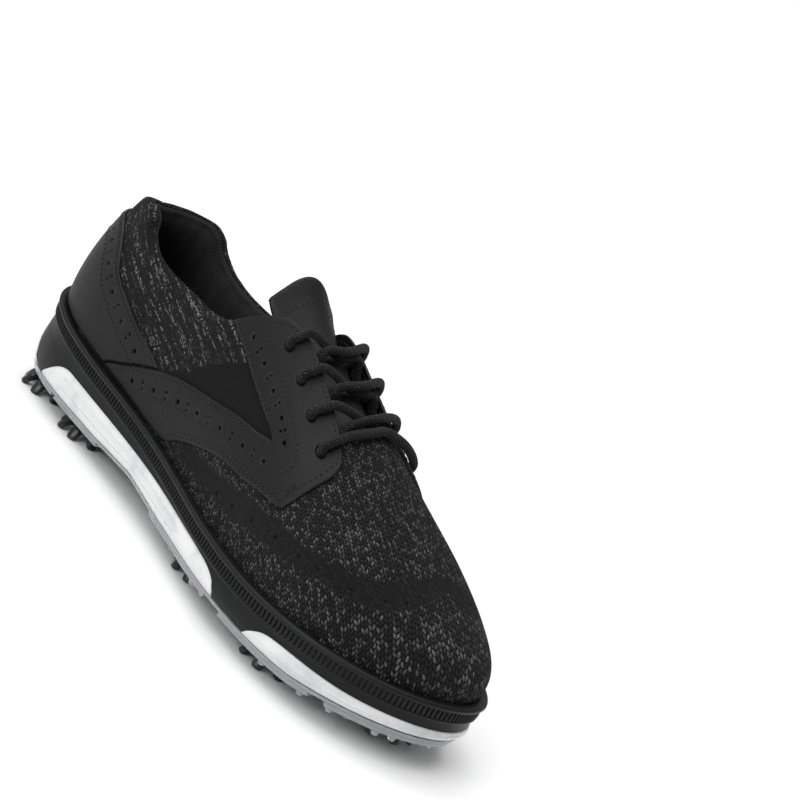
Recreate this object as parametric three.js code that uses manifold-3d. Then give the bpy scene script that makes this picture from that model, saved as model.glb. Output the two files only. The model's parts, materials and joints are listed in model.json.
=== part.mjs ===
// Golf shoe, right foot, men's EU 43: knit upper, leather overlays, cleated outsole.
// Millimetres. +X points to the toe, +Y to the medial side, +Z up; the cleats stand on z = 0.
import * as THREE from 'three';
import { mergeVertices } from 'three/addons/utils/BufferGeometryUtils.js';
import Module from 'manifold-3d';

// ---------- driving dimensions ----------
const SHOE_LENGTH = 303.5;      // heel to toe over the welt
const WIDTH_SCALE = 1.0;        // 1 gives a 110 mm ball width
const COLLAR_SCALE = 1.0;       // 1 gives a 100 mm high collar at the heel
const GAP = 0.3;                // clearance between pieces that touch
const SKIN = 0.45;              // overlays lie this far off the knit
const KNIT = 1.5;               // knit thickness
const OVERLAY = 1.1;            // leather-like overlay thickness
const LINING = 1.5;             // lining thickness away from the padded collar
const COLLAR_PAD = 6.0;         // padded thickness of the collar roll
const COUNTER = 1.2;            // heel counter thickness
const PUFF = 0.9;               // toe puff thickness
const WELT_LEDGE = 5.0;         // outline of the upper, in from the welt edge
const LIP_WIDTH = 4.3;          // welt lip, in from the welt edge
const UPPER_SINK = 2.0;         // the upper starts this far below the lip
const FOOTBED_INSET = 7.6;      // wall of the well inside the midsole
const BOARD = 1.4;              // lasting board thickness
const INSOLE = 3.6;             // insole thickness
const PLATE = 1.5;              // clear outsole plate thickness
const PLATE_INSET = 3.2;        // plate edge, in from the welt edge
const SIDEWALL = 2.4;           // white sidewall panel thickness
const SIDEWALL_PROUD = 0.6;     // panel face beyond the black midsole wall
const POD_PAD = 2.0;            // clear pod pad thickness
const NUB_HEIGHT = 2.3;         // nubs below the pad
const NUB_RADIUS = 2.0;
const CUP_RADIUS = 8.6;         // cleat receptacle, outside
const CUP_BORE = 5.6;
const CUP_DEPTH = 6.0;          // receptacle height above the pad
const CLEAT_REACH = 14.5;       // tip radius of the cleat legs
const CLEAT_LEGS = 8;
const CLEAT_BODY = 8.8;         // radius of the cleat disc
const LACE_RADIUS = 2.0;
const EYELET_RADIUS = 3.0;
const KNIT_EASE = 1.0;          // eyelet holes in the knit are this much larger in radius
const WEB = 1.2;                // black web, frame and medallion thickness
const SHANK = 1.2;              // shank plate thickness

// ---------- tables along the shoe: [x, value] ----------
const SX = SHOE_LENGTH / 303.5;
const WELT_TOP = [[-150, 46], [-115, 40], [-80, 36.5], [-30, 33.5], [30, 29.5], [70, 28.5], [110, 29.5],
  [140, 31], [154, 32.5]];
const FOOTBED = [[-150, 31], [-100, 31], [-40, 28.5], [20, 23.5], [60, 21.5], [110, 21.5], [154, 23.5]];
const BOTTOM = [[-155, 9], [-60, 9], [-30, 11], [0, 9], [108, 9], [155, 13.7]];
const PANEL_TOP = [[-150, 34], [-127, 27.5], [-100, 24], [-60, 22.5], [-10, 21.5], [55, 19.5], [80, 19],
  [120, 18.5], [154, 20]];
const CREST_X = [[-150, -92], [-120, -86], [-90, -74], [-60, -54], [-20, -18], [10, 10], [60, 60], [90, 89],
  [115, 107], [135, 117], [154, 121]];
const CREST_Z = [[-92, 165], [-55, 160], [-35, 146], [-18, 130], [0, 117], [20, 106], [40, 95.5], [60, 86],
  [80, 77.5], [93, 72], [107, 65.5], [117, 60.5], [121, 58.5]];
const WALL_LOW = [[-150, 0.2], [-110, 0.25], [-60, 0.32], [-20, 0.4], [20, 0.45], [60, 0.5], [100, 0.58],
  [154, 0.62]];
const WALL_HIGH = [[-150, 0.9], [-110, 0.85], [-60, 0.82], [-35, 0.74], [-10, 0.6], [20, 0.52], [60, 0.52],
  [100, 0.58], [154, 0.62]];
const WALL_DROP = [[-150, 0.36], [-110, 0.3], [-60, 0.25], [-35, 0.15], [-10, 0.04], [10, 0], [154, 0]];
const BULGE = [[-150, 6], [-115, 4], [-60, 2], [0, 2], [60, 4], [110, 4], [154, 5]];
// welt outline: lateral side from the heel to the toe, then the medial side back
const WELT = [[-150, 0], [-146.5, -16], [-135, -28], [-115, -35], [-88, -37.5], [-58, -38], [-28, -40],
  [2, -44.5], [32, -51], [60, -55], [85, -55], [106, -50.5], [125, -41], [140, -28], [150, -12], [153.5, 4],
  [150, 19], [140, 32], [124, 42.5], [104, 49], [82, 51], [58, 49], [30, 43.5], [2, 37], [-28, 33],
  [-58, 32], [-88, 33.5], [-115, 32.5], [-135, 26.5], [-146.5, 15.5]];

// ---------- outlines of the upper's pieces: [girth s from the heel, height t] ----------
const OVERLAY_FOOT = 0.036 / COLLAR_SCALE;      // the overlays start this high, clear of the welt lip
const THROAT = [[140, 0.485], [147, 0.565], [154, 0.64], [160, 0.69], [168, 0.725], [177, 0.74],
  [193, 0.742], [211, 0.738], [222, 0.715], [229, 0.68]];
const WING = [...THROAT, [232, 0.62], [232, 0.425], [231, 0.345], [226, 0.322], [217, 0.295], [202, 0.245],
  [188, 0.21], [171, 0.15], [156, 0.085], [147, OVERLAY_FOOT], [90, OVERLAY_FOOT], [92.5, 0.052], [99, 0.08],
  [112, 0.135], [126, 0.184], [143, 0.234], [161, 0.284], [176, 0.334], [192, 0.384], [202, 0.43],
  [197, 0.44], [184, 0.44], [170, 0.45], [153, 0.47]];
const FOXING_EDGE = [[88.2, OVERLAY_FOOT], [91, 0.056], [97.5, 0.084], [110.5, 0.139], [121, 0.176],
  [101.9, 0.21], [80.4, 0.265], [65.8, 0.31], [54.8, 0.375], [44, 0.425], [30, 0.45]];
const FOXING_BACK = [0, 0.462];
const JOINT_LINE = [[118, 0], [150, 0.14], [180, 0.25], [205, 0.33], [215, 0.42], [216, 0.62]];
const KNIT_THROAT = [[208, 0.70], [193, 0.715], [177, 0.712], [167, 0.695], [160, 0.66], [152, 0.595]];
const COLLAR = [[140, 0.48], [133, 0.43], [119, 0.402], [95, 0.405], [75, 0.425], [60, 0.47], [52, 0.515],
  [42, 0.535], [25, 0.53], [0, 0.515]];
const EYELETS = [[169.5, 0.64], [186.5, 0.635], [203.5, 0.628], [220, 0.61]];

// ---------- layout of the sole, plan view [x, y] ----------
const HEEL_CUP_BACK = -129.6;   // back of the rear cups, clear of the heel panel
const HEEL_CUP_SIDE = 26.1;     // outer side of the rear cups
const WAIST_CUP_SIDE = 28.6;    // outer side of the cups at the front of the heel
const REAR_X = HEEL_CUP_BACK + CUP_RADIUS;
const REAR_Y = HEEL_CUP_SIDE - CUP_RADIUS;
const CLEATS = [['heel_rear_lateral', REAR_X, -REAR_Y], ['heel_rear_medial', REAR_X, REAR_Y - 0.5],
  ['heel_front_lateral', -82, CUP_RADIUS - WAIST_CUP_SIDE],
  ['heel_front_medial', -80, WAIST_CUP_SIDE - 1.5 - CUP_RADIUS], ['ball_rear_lateral', 27, -26.5],
  ['ball_rear_medial', 33, 23.5], ['ball_front_lateral', 84, -30], ['ball_front_medial', 84, 28],
  ['toe', 124, 1]];
const PODS = {
  heel_rear_lateral: [[-150, -40], [-150, -1.5], [-103, -1.5], [-103, -40]],
  heel_rear_medial: [[-150, 40], [-103, 40], [-103, 1.5], [-150, 1.5]],
  heel_front_lateral: [[-100, -40], [-100, -1.5], [-84, -1.5], [-72, -6], [-64, -17], [-60, -26],
    [-60, -40]],
  heel_front_medial: [[-100, 40], [-60, 40], [-58, 24], [-62, 14], [-78, 4], [-88, 1.5], [-100, 1.5]],
  ball_rear_lateral: [[-6, -17], [-10, -30], [0, -45], [50, -60], [54, -46], [54, -12], [48, -7.5],
    [32, -7.5], [12, -11]],
  ball_rear_medial: [[-2, 12], [12, 5.5], [34, 2], [51, 2], [56, 7], [58, 40], [54, 50], [0, 40],
    [-6, 24]],
  ball_front_lateral: [[66, -60], [64.5, -13], [69, -7.5], [92, -7.5], [101, -11], [108, -21], [116, -38],
    [112, -60]],
  ball_front_medial: [[68, 60], [112, 60], [116, 38], [109, 20], [101, 10], [92, 5.5], [72, 5.5],
    [66, 11]],
  toe: [[104, -5], [111, -17], [121, -36], [132, -38], [160, -20], [160, 24], [134, 40], [121, 36],
    [112, 16], [105, 5]],
};
const WEB_ARMS = [[[14.5, -2.5], [60, -2.5]], [[60, -2.5], [98, -1]], [[59, -46], [60, -2.5]],
  [[63, 42], [60, -2.5]]];
const WEB_HALF = 3.2;
const LEAF = [[-63, -5], [-52, -15], [-35, -19], [-15, -15.5], [-3, -8.5], [5, -2], [-5, 3], [-20, 8],
  [-40, 9], [-55, 3.5]];
const FRAME_WIDTH = 4.5;
const FRAME_PROUD = 0.8;
const BEND_EASE = 0.25;         // the waist pieces lie this much lower, where the plate bends

// ---------- small maths ----------
function slopes(rows) {
  const d = rows.slice(1).map((r, i) => (r[1] - rows[i][1]) / (r[0] - rows[i][0]));
  return rows.map((_, i) => {
    if (i === 0) return d[0];
    if (i === rows.length - 1) return d[i - 1];
    if (d[i - 1] * d[i] <= 0) return 0;
    return 2 * d[i - 1] * d[i] / (d[i - 1] + d[i]);
  });
}

function smoothTable(rows) {
  const m = slopes(rows);
  return (x) => {
    let i = 0;
    while (i < rows.length - 2 && x > rows[i + 1][0]) i++;
    const h = rows[i + 1][0] - rows[i][0];
    const f = (x - rows[i][0]) / h;
    if (f < 0) return rows[0][1] + m[0] * (x - rows[0][0]);
    if (f > 1) return rows[i + 1][1] + m[i + 1] * (x - rows[i + 1][0]);
    const g = 1 - f;
    return rows[i][1] * g * g * (1 + 2 * f) + rows[i + 1][1] * f * f * (1 + 2 * g)
      + h * f * g * (m[i] * g - m[i + 1] * f);
  };
}

function linearTable(rows) {
  return (x) => {
    let i = 0;
    while (i < rows.length - 2 && x > rows[i + 1][0]) i++;
    const f = (x - rows[i][0]) / (rows[i + 1][0] - rows[i][0]);
    return rows[i][1] + f * (rows[i + 1][1] - rows[i][1]);
  };
}

const alongX = (table) => (x) => table(x / SX);
const weltTop = alongX(smoothTable(WELT_TOP));
const footbed = alongX(smoothTable(FOOTBED));
const bottom = alongX(linearTable(BOTTOM));
const panelTop = alongX(smoothTable(PANEL_TOP));
const crestX = (x) => SX * smoothTable(CREST_X)(x / SX);
const crestZRaw = smoothTable(CREST_Z);
const crestZ = (x) => {
  const base = weltTop(x);
  return base + (crestZRaw(x / SX) - base) * COLLAR_SCALE;
};
const wallLow = alongX(smoothTable(WALL_LOW));
const wallHigh = alongX(smoothTable(WALL_HIGH));
const wallDrop = alongX(smoothTable(WALL_DROP));
const bulge = alongX(smoothTable(BULGE));

// ---------- welt outline as a smooth closed curve ----------
const RING = 480;
const curve = new THREE.CatmullRomCurve3(
  WELT.map(([x, y]) => new THREE.Vector3(x * SX, y * WIDTH_SCALE, 0)), true, 'centripetal');
curve.arcLengthDivisions = 2000;
let ring = curve.getSpacedPoints(RING).slice(0, RING).map((p) => [p.x, p.y]);
for (let pass = 0; pass < 40; pass++) {
  ring = ring.map((p, i) => {
    const a = ring[(i + RING - 1) % RING];
    const b = ring[(i + 1) % RING];
    return [(a[0] + 2 * p[0] + b[0]) / 4, (a[1] + 2 * p[1] + b[1]) / 4];
  });
}
const TOE_INDEX = ring.reduce((best, p, i) => (p[0] > ring[best][0] ? i : best), 0);
const HALF_GIRTH = 353.5;       // girth from the heel to the toe along one side
const lateralRing = ring.slice(0, TOE_INDEX + 1);
const medialRing = [ring[0], ...ring.slice(TOE_INDEX).reverse()];

function ringAt(side, f) {
  const n = side.length - 1;
  const i = Math.min(n - 1, Math.max(0, Math.floor(f)));
  const g = f - i;
  return [side[i][0] * (1 - g) + side[i + 1][0] * g, side[i][1] * (1 - g) + side[i + 1][1] * g];
}

// place on the welt edge: s > 0 lateral, s < 0 medial at the same x; returns point and outward normal
function edgeAt(s) {
  const f = Math.min(Math.abs(s) / HALF_GIRTH, 1) * (lateralRing.length - 1);
  let side = lateralRing;
  let at = f;
  if (s < 0) {
    side = medialRing;
    const x = ringAt(lateralRing, f)[0];
    let low = 0;
    let high = medialRing.length - 1;
    for (let k = 0; k < 40; k++) {
      const mid = (low + high) / 2;
      if (ringAt(medialRing, mid)[0] < x) low = mid;
      else high = mid;
    }
    at = (low + high) / 2;
  }
  const p = ringAt(side, at);
  const n = side.length - 1;
  const a = at < 1 ? [p[0], s < 0 ? -1 : 1] : ringAt(side, at - 1);
  const b = at > n - 1 ? [p[0], s < 0 ? -1 : 1] : ringAt(side, at + 1);
  let tangent = [b[0] - a[0], b[1] - a[1]];
  if (at < 1) tangent = blendTangent(tangentOf(side, 1), [0, s < 0 ? 1 : -1], 1 - at);
  if (at > n - 1) tangent = blendTangent(tangentOf(side, n - 1), [0, s < 0 ? -1 : 1], at - n + 1);
  const len = Math.hypot(...tangent);
  const sign = s < 0 ? -1 : 1;
  return { p, n: [sign * tangent[1] / len, -sign * tangent[0] / len] };
}

function tangentOf(side, i) {
  const a = side[i - 1];
  const b = side[i + 1];
  const len = Math.hypot(b[0] - a[0], b[1] - a[1]);
  return [(b[0] - a[0]) / len, (b[1] - a[1]) / len];
}

function blendTangent(a, b, f) {
  return [a[0] * (1 - f) + b[0] * f, a[1] * (1 - f) + b[1] * f];
}

// ---------- the upper's surface ----------
function wallPoint(s, t) {
  const { p, n } = edgeAt(s);
  const x = p[0];
  const foot = [x - n[0] * WELT_LEDGE, p[1] - n[1] * WELT_LEDGE, weltTop(x) - UPPER_SINK];
  const cx = crestX(x);
  const crest = [cx, cx > 60 ? (cx - 60) * 0.06 : 0, crestZ(cx)];
  const rise = crest[2] - foot[2];
  const span = [foot[0] - crest[0], foot[1] - crest[1]];
  const slope = x > 30 ? (crestZ(cx + 1) - crestZ(cx - 1)) / 2 : 0;
  const high = wallHigh(x);
  const b = bulge(x);
  const low = [foot[0] + n[0] * b, foot[1] + n[1] * b, foot[2] + wallLow(x) * rise];
  const top = [crest[0] + span[0] * high, crest[1] + span[1] * high,
    crest[2] - wallDrop(x) * rise + slope * span[0] * high];
  const u = 1 - t;
  return foot.map((v, i) => u * u * u * v + 3 * u * u * t * low[i] + 3 * u * t * t * top[i]
    + t * t * t * crest[i]);
}

function crestNormal(s) {
  const cx = crestX(edgeAt(s).p[0]);
  const slope = (crestZ(cx + 1) - crestZ(cx - 1)) / 2;
  return new THREE.Vector3(-slope, 0, 1).normalize();
}

const vectorAt = (s, t) => new THREE.Vector3(...wallPoint(s, t));

function wallNormal(s, t) {
  if (t > 0.995) return crestNormal(s);
  const ds = 1.5;
  const dt = 0.01;
  const s0 = Math.abs(s) > ds ? s - ds : s;
  const s1 = Math.abs(s) < HALF_GIRTH - ds ? s + ds : s;
  const a = vectorAt(s1 || 0.001, t).sub(vectorAt(s0 || 0.001, t));
  const t0 = Math.max(0, t - dt);
  const t1 = Math.min(1, t0 + 2 * dt);
  const b = vectorAt(s, t1).sub(vectorAt(s, t0));
  const n = a.cross(b).normalize();
  const { n: out } = edgeAt(s);
  const outward = n.x * out[0] + n.y * out[1] + n.z;
  return outward < 0 ? n.negate() : n;
}

function wall(s, t, w) {
  const p = vectorAt(s, t);
  return p.addScaledVector(wallNormal(s, t), w).toArray();
}

// ---------- solids ----------
const wasm = await Module();
wasm.setup();
const STEP_GIRTH = 13;
const STEP_HEIGHT = 0.1;
const HEIGHT_UNIT = 100;        // flat outlines use t * 100 beside s in millimetres
const HEIGHT_STRETCH = 1.75;    // flat outlines are this much taller than the shoe's side near the eyelets
const DISH = 1e-3;              // keeps the flat blank's grid from being merged away

function toManifold(geometry) {
  const bare = new THREE.BufferGeometry();
  bare.setAttribute('position', geometry.getAttribute('position'));
  if (geometry.index) bare.setIndex(geometry.index);
  const g = mergeVertices(bare, 1e-4);
  return new wasm.Manifold(new wasm.Mesh({
    numProp: 3,
    vertProperties: new Float32Array(g.getAttribute('position').array),
    triVerts: new Uint32Array(g.index.array),
  }));
}

function toGeometry(solid) {
  const m = solid.getMesh();
  const positions = new Float32Array(m.numVert * 3);
  for (let i = 0; i < m.numVert; i++) {
    for (let k = 0; k < 3; k++) positions[i * 3 + k] = m.vertProperties[i * m.numProp + k];
  }
  const g = new THREE.BufferGeometry();
  g.setAttribute('position', new THREE.BufferAttribute(positions, 3));
  g.setIndex([...m.triVerts]);
  return g;
}

function indexed(points, faces) {
  const g = new THREE.BufferGeometry();
  g.setAttribute('position', new THREE.BufferAttribute(new Float32Array(points.flat()), 3));
  g.setIndex(faces.flat());
  return g;
}

function mapped(geometry, place) {
  const g = geometry.clone();
  const p = g.getAttribute('position');
  for (let i = 0; i < p.count; i++) p.setXYZ(i, ...place(p.getX(i), p.getY(i), p.getZ(i)));
  return g;
}

// closed skin over a grid of nodes: top[i][j] and bottom[i][j]; a seam joins the last nodes of each row
function gridSolid(top, bottomRows, seam = false) {
  const n = top.length;
  const m = top[0].length;
  const points = [...top.flat(), ...bottomRows.flat()];
  const at = (layer, i, j) => layer * n * m + i * m + j;
  const faces = [];
  const quad = (a, b, c, d) => faces.push([a, b, c], [a, c, d]);
  for (let i = 0; i < n - 1; i++) {
    for (let j = 0; j < m - 1; j++) {
      quad(at(0, i, j), at(0, i + 1, j), at(0, i + 1, j + 1), at(0, i, j + 1));
      quad(at(1, i, j), at(1, i, j + 1), at(1, i + 1, j + 1), at(1, i + 1, j));
    }
    quad(at(0, i, 0), at(1, i, 0), at(1, i + 1, 0), at(0, i + 1, 0));
    if (!seam) quad(at(0, i, m - 1), at(0, i + 1, m - 1), at(1, i + 1, m - 1), at(1, i, m - 1));
  }
  for (let j = 0; j < m - 1; j++) {
    quad(at(0, 0, j), at(0, 0, j + 1), at(1, 0, j + 1), at(1, 0, j));
    quad(at(0, n - 1, j), at(1, n - 1, j), at(1, n - 1, j + 1), at(0, n - 1, j + 1));
  }
  return indexed(points, faces);
}

function outward(geometry) {
  const p = geometry.getAttribute('position');
  const f = geometry.index.array;
  const v = [0, 1, 2].map(() => new THREE.Vector3());
  let volume = 0;
  for (let i = 0; i < f.length; i += 3) {
    v.forEach((q, k) => q.fromBufferAttribute(p, f[i + k]));
    volume += v[0].dot(v[1].clone().cross(v[2]));
  }
  if (volume < 0) {
    for (let i = 0; i < f.length; i += 3) [f[i + 1], f[i + 2]] = [f[i + 2], f[i + 1]];
  }
  return geometry;
}

function prism(outline, low, high) {
  const shape = new THREE.Shape(outline.map(([x, y]) => new THREE.Vector2(x, y)));
  const g = new THREE.ExtrudeGeometry(shape, { depth: high - low, bevelEnabled: false });
  g.translate(0, 0, low);
  return g;
}

// flat blank between two depths, gridded so that it bends smoothly
function blank(outline, low, high, stepA, stepB) {
  const as = outline.map((p) => p[0]);
  const bs = outline.map((p) => p[1]);
  const nodes = (values, step) => {
    const first = Math.floor(Math.min(...values) / step - 0.05);
    const last = Math.ceil(Math.max(...values) / step + 0.05);
    return Array.from({ length: last - first + 1 }, (_, i) => (first + i) * step);
  };
  const a0 = Math.min(...as);
  const b0 = Math.min(...bs);
  const dish = (a, b) => DISH * ((a - a0) ** 2 + (b - b0) ** 2);
  const rows = (w) => nodes(as, stepA).map((a) => nodes(bs, stepB).map((b) => [a, b, w + dish(a, b)]));
  const sheet = toManifold(outward(gridSolid(rows(high), rows(low))));
  const size = dish(Math.max(...as), Math.max(...bs));
  const cutter = toManifold(prism(outline, low - 5, high + size + 5));
  return { solid: sheet.intersect(cutter), dish };
}

// piece of the upper between two depths, from its outline [s, t]
function patch(outline, low, high, side = 1, holes = []) {
  const flat = outline.map(([s, t]) => [s, t * HEIGHT_UNIT]);
  const made = blank(flat, low, high, STEP_GIRTH, STEP_HEIGHT * HEIGHT_UNIT);
  let { solid } = made;
  for (const hole of holes) {
    const g = new THREE.CylinderGeometry(hole.radius, hole.radius, 400, 10);
    g.rotateX(Math.PI / 2);
    g.scale(1, hole.stretch, 1);
    g.translate(hole.s, hole.t * HEIGHT_UNIT, 0);
    solid = solid.subtract(toManifold(g));
  }
  return outward(mapped(toGeometry(solid), (s, h, w) => {
    const depth = w - made.dish(s, h);
    return wall(side * s || side * 0.001, h / HEIGHT_UNIT, depth);
  }));
}

// outline round the heel, given for one side from the front to the back, mirrored
const roundHeel = (half, back) => [...half, back, ...half.slice().reverse().map(([s, t]) => [-s, t])];

// piece of the front that crosses the crest, from the girth sRear to the toe
function frontShell(sRear, low, high, tStart) {
  const count = Math.ceil((HALF_GIRTH - sRear) / STEP_GIRTH - 0.2);
  const rows = Math.round((1 - tStart) / STEP_HEIGHT);
  const girths = Array.from({ length: count }, (_, i) => sRear + i * STEP_GIRTH);
  const columns = [...girths, HALF_GIRTH, ...girths.slice().reverse().map((s) => -s)];
  const layer = (w) => columns.map((s) => Array.from({ length: rows + 1 }, (_, j) => {
    const t = tStart + (1 - tStart) * j / rows;
    return wall(s, t, w);
  }));
  const g = gridSolid(layer(high), layer(low), true);
  return outward(mergeVertices(g, 1e-3));
}

// ---------- rings of the sole ----------
const SIDE_STEPS = 26;

function girthRing(place) {
  const lateral = [];
  const medial = [];
  for (let i = 0; i <= SIDE_STEPS; i++) {
    const s = HALF_GIRTH * i / SIDE_STEPS;
    lateral.push(place(s));
    if (i > 0 && i < SIDE_STEPS) medial.push(place(-s));
  }
  return [...lateral, ...medial.reverse()];
}

function insetPoint(s, inset, z) {
  const { p, n } = edgeAt(s);
  return [p[0] - n[0] * inset, p[1] - n[1] * inset, z];
}

// closed stack of rings from its profile [inset, z(x)], flat rungs across both ends
function ringSolid(profile) {
  const rings = profile.map(([inset, z]) => girthRing((s) => insetPoint(s, inset, z(edgeAt(s).p[0]))));
  const n = 2 * SIDE_STEPS;
  const points = rings.flat();
  const faces = [];
  for (let k = 0; k < rings.length - 1; k++) {
    for (let i = 0; i < n; i++) {
      const j = (i + 1) % n;
      faces.push([k * n + i, k * n + j, (k + 1) * n + j], [k * n + i, (k + 1) * n + j, (k + 1) * n + i]);
    }
  }
  const cap = (base, flip) => {
    for (let i = 0; i < SIDE_STEPS; i++) {
      const a = base + i;
      const b = base + i + 1;
      const c = base + (n - i - 1) % n;
      const d = base + (n - i) % n;
      const tris = [[a, b, c], [a, c, d]].filter((f) => new Set(f).size === 3);
      tris.forEach((f) => faces.push(flip ? [f[0], f[2], f[1]] : f));
    }
  };
  cap(0, true);
  cap((rings.length - 1) * n, false);
  return outward(indexed(points, faces));
}

const lower = (table, drop) => (x) => table(x) - drop;
const WALL_FOOT = PLATE + GAP;
const wallProfile = (x) => {
  const z0 = bottom(x) + WALL_FOOT;
  const z1 = panelTop(x);
  return linearTable([[z0 - 10, 3.4], [z0, 3.4], [z0 + 2.7, 1.9], [(z0 + z1) / 2, 1.5], [z1, 2.2],
    [z1 + 20, 2.2]]);
};

// point on the midsole wall: q is 0 at its foot and 1 at the top of the panels, w is outward
function sole(s, q, w) {
  const x = edgeAt(s).p[0];
  const z = bottom(x) + WALL_FOOT + q * (panelTop(x) - bottom(x) - WALL_FOOT);
  return insetPoint(s, wallProfile(x)(z) - w, z);
}

const overToe = (s) => (s > HALF_GIRTH ? s - 2 * HALF_GIRTH : s);
const PANEL_HEIGHT = 12;        // q of 1 in the flat outline, in millimetres

function panel(outline, low, high, side = 1) {
  const made = blank(outline.map(([s, q]) => [s, q * PANEL_HEIGHT]), low, high, STEP_GIRTH, 6);
  return outward(mapped(toGeometry(made.solid), (s, h, w) => {
    const girth = overToe(side * s);
    return sole(girth || 0.001, h / PANEL_HEIGHT, w - made.dish(s, h));
  }));
}

const HEEL_PANEL = roundHeel([[42, 0], [38, 0.25], [30, 0.6], [24, 0.9], [18, 1]], [0, 1]);
const MID_PANEL = [[52, 0], [58, 0.35], [66, 0.8], [72, 0.96], [80, 1], [208, 1], [219, 0.9], [226, 0.65],
  [229, 0.3], [228, 0]];
const toeHalf = [[252, 0], [256, 0.45], [262, 0.85], [270, 1]];
const TOE_PANEL = [...toeHalf, ...toeHalf.slice().reverse().map(([s, q]) => [2 * HALF_GIRTH - s, q])];
const PANELS = [['sidewall_heel', HEEL_PANEL, 1], ['sidewall_lateral', MID_PANEL, 1],
  ['sidewall_medial', MID_PANEL, -1], ['sidewall_toe', TOE_PANEL, 1]];

// outline grown along its own normals
function grow(outline, by) {
  const n = outline.length;
  const area = outline.reduce((a, p, i) => {
    const q = outline[(i + 1) % n];
    return a + p[0] * q[1] - q[0] * p[1];
  }, 0);
  const sign = area > 0 ? 1 : -1;
  return outline.map((p, i) => {
    const a = outline[(i + n - 1) % n];
    const b = outline[(i + 1) % n];
    const u = [p[0] - a[0], p[1] - a[1]];
    const v = [b[0] - p[0], b[1] - p[1]];
    const lu = Math.hypot(...u);
    const lv = Math.hypot(...v);
    const nx = u[1] / lu + v[1] / lv;
    const ny = -u[0] / lu - v[0] / lv;
    const k = sign * by * 2 / (nx * nx + ny * ny);
    return [p[0] + nx * k, p[1] + ny * k];
  });
}

const BEND_STEP = 9;

// flat piece under the plate, following its bend
function underPlate(outline, low, high, hollow) {
  const made = blank(outline, low, high, BEND_STEP, BEND_STEP);
  let { solid } = made;
  if (hollow) solid = solid.subtract(toManifold(prism(hollow, low - 5, high + 40)));
  return outward(mapped(toGeometry(solid), (x, y, w) => [x, y, bottom(x) + w - made.dish(x, y)]));
}

function tube(radius, z0, z1, sides = 16) {
  const g = new THREE.CylinderGeometry(radius, radius, z1 - z0, sides);
  g.rotateX(Math.PI / 2);
  g.translate(0, 0, (z0 + z1) / 2);
  return g;
}

// local frame of a cleat: its axis meets the plate's underside at the origin
const TOE_KINK = BOTTOM[4][0] * SX;
const TOE_TILT = Math.atan((BOTTOM[5][1] - BOTTOM[4][1]) / ((BOTTOM[5][0] - BOTTOM[4][0]) * SX));
const FLAT = BOTTOM[0][1];

function cleatFrame(x, y) {
  const m = new THREE.Matrix4();
  if (x < TOE_KINK) return m.makeTranslation(x, y, FLAT);
  m.makeRotationY(-TOE_TILT);
  m.setPosition(x, y, FLAT + (x - TOE_KINK) * Math.tan(TOE_TILT));
  return m;
}

function toeFrame(name) {
  const m = new THREE.Matrix4();
  if (name !== 'toe') return m.makeTranslation(0, 0, FLAT);
  m.makeTranslation(TOE_KINK, 0, FLAT);
  m.multiply(new THREE.Matrix4().makeRotationY(-TOE_TILT));
  return m.multiply(new THREE.Matrix4().makeTranslation(-TOE_KINK, 0, 0));
}

const cleatAt = CLEATS.map(([name, x, y]) => ({ name, x: x * SX, y: y * WIDTH_SCALE }));
const PAD_FOOT = -GAP - POD_PAD;
const CUP_TOP = CUP_DEPTH - POD_PAD;
const CUP_ROOF = 1.2;

function inside(outline, x, y) {
  let hit = false;
  outline.forEach((a, i) => {
    const b = outline[(i + 1) % outline.length];
    if (a[1] > y !== b[1] > y && x < a[0] + (b[0] - a[0]) * (y - a[1]) / (b[1] - a[1])) hit = !hit;
  });
  return hit;
}

function pod(name) {
  const outline = PODS[name].map(([x, y]) => [x * SX, y * WIDTH_SCALE]);
  const rim = girthRing((s) => insetPoint(s, PLATE_INSET + 1.2, 0)).map(([x, y]) => [x, y]);
  let solid = toManifold(prism(outline, PAD_FOOT, -GAP)).intersect(toManifold(prism(rim, -20, 20)));
  const centre = cleatAt.find((c) => c.name === name);
  const bore = tube(CUP_RADIUS + GAP, -20, 20);
  bore.translate(centre.x, centre.y, 0);
  solid = solid.subtract(toManifold(bore));
  const pitch = 7.4;
  const room = grow(outline, -NUB_RADIUS - 0.6);
  const rimRoom = girthRing((s) => insetPoint(s, PLATE_INSET + 2 + NUB_RADIUS, 0));
  for (let i = -24; i <= 24; i++) {
    for (let j = -9; j <= 9; j++) {
      const x = (i + (j % 2) / 2) * pitch;
      const y = j * pitch * 0.866;
      const free = cleatAt.every((c) => Math.hypot(c.x - x, c.y - y) > CLEAT_REACH + NUB_RADIUS + 0.6);
      if (!free || !inside(room, x, y) || !inside(rimRoom, x, y)) continue;
      const nub = new THREE.CylinderGeometry(NUB_RADIUS, NUB_RADIUS * 0.8, NUB_HEIGHT + 1, 6);
      nub.rotateX(Math.PI / 2);
      nub.translate(x, y, PAD_FOOT - NUB_HEIGHT / 2 + 0.5);
      solid = solid.add(toManifold(nub));
    }
  }
  const g = toGeometry(solid);
  g.applyMatrix4(toeFrame(name));
  return g;
}

function receptacle({ x, y }) {
  const profile = [[0, CUP_TOP], [CUP_RADIUS, CUP_TOP], [CUP_RADIUS, PAD_FOOT], [CUP_BORE, PAD_FOOT],
    [CUP_BORE, CUP_TOP - CUP_ROOF], [0, CUP_TOP - CUP_ROOF]];
  const g = new THREE.LatheGeometry(profile.map(([r, z]) => new THREE.Vector2(r, z)), 16);
  g.rotateX(Math.PI / 2);
  g.applyMatrix4(cleatFrame(x, y));
  return outward(mergeVertices(stripped(g), 1e-4));
}

function stripped(g) {
  const bare = new THREE.BufferGeometry();
  bare.setAttribute('position', g.getAttribute('position'));
  bare.setIndex(g.index);
  return bare;
}

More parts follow.
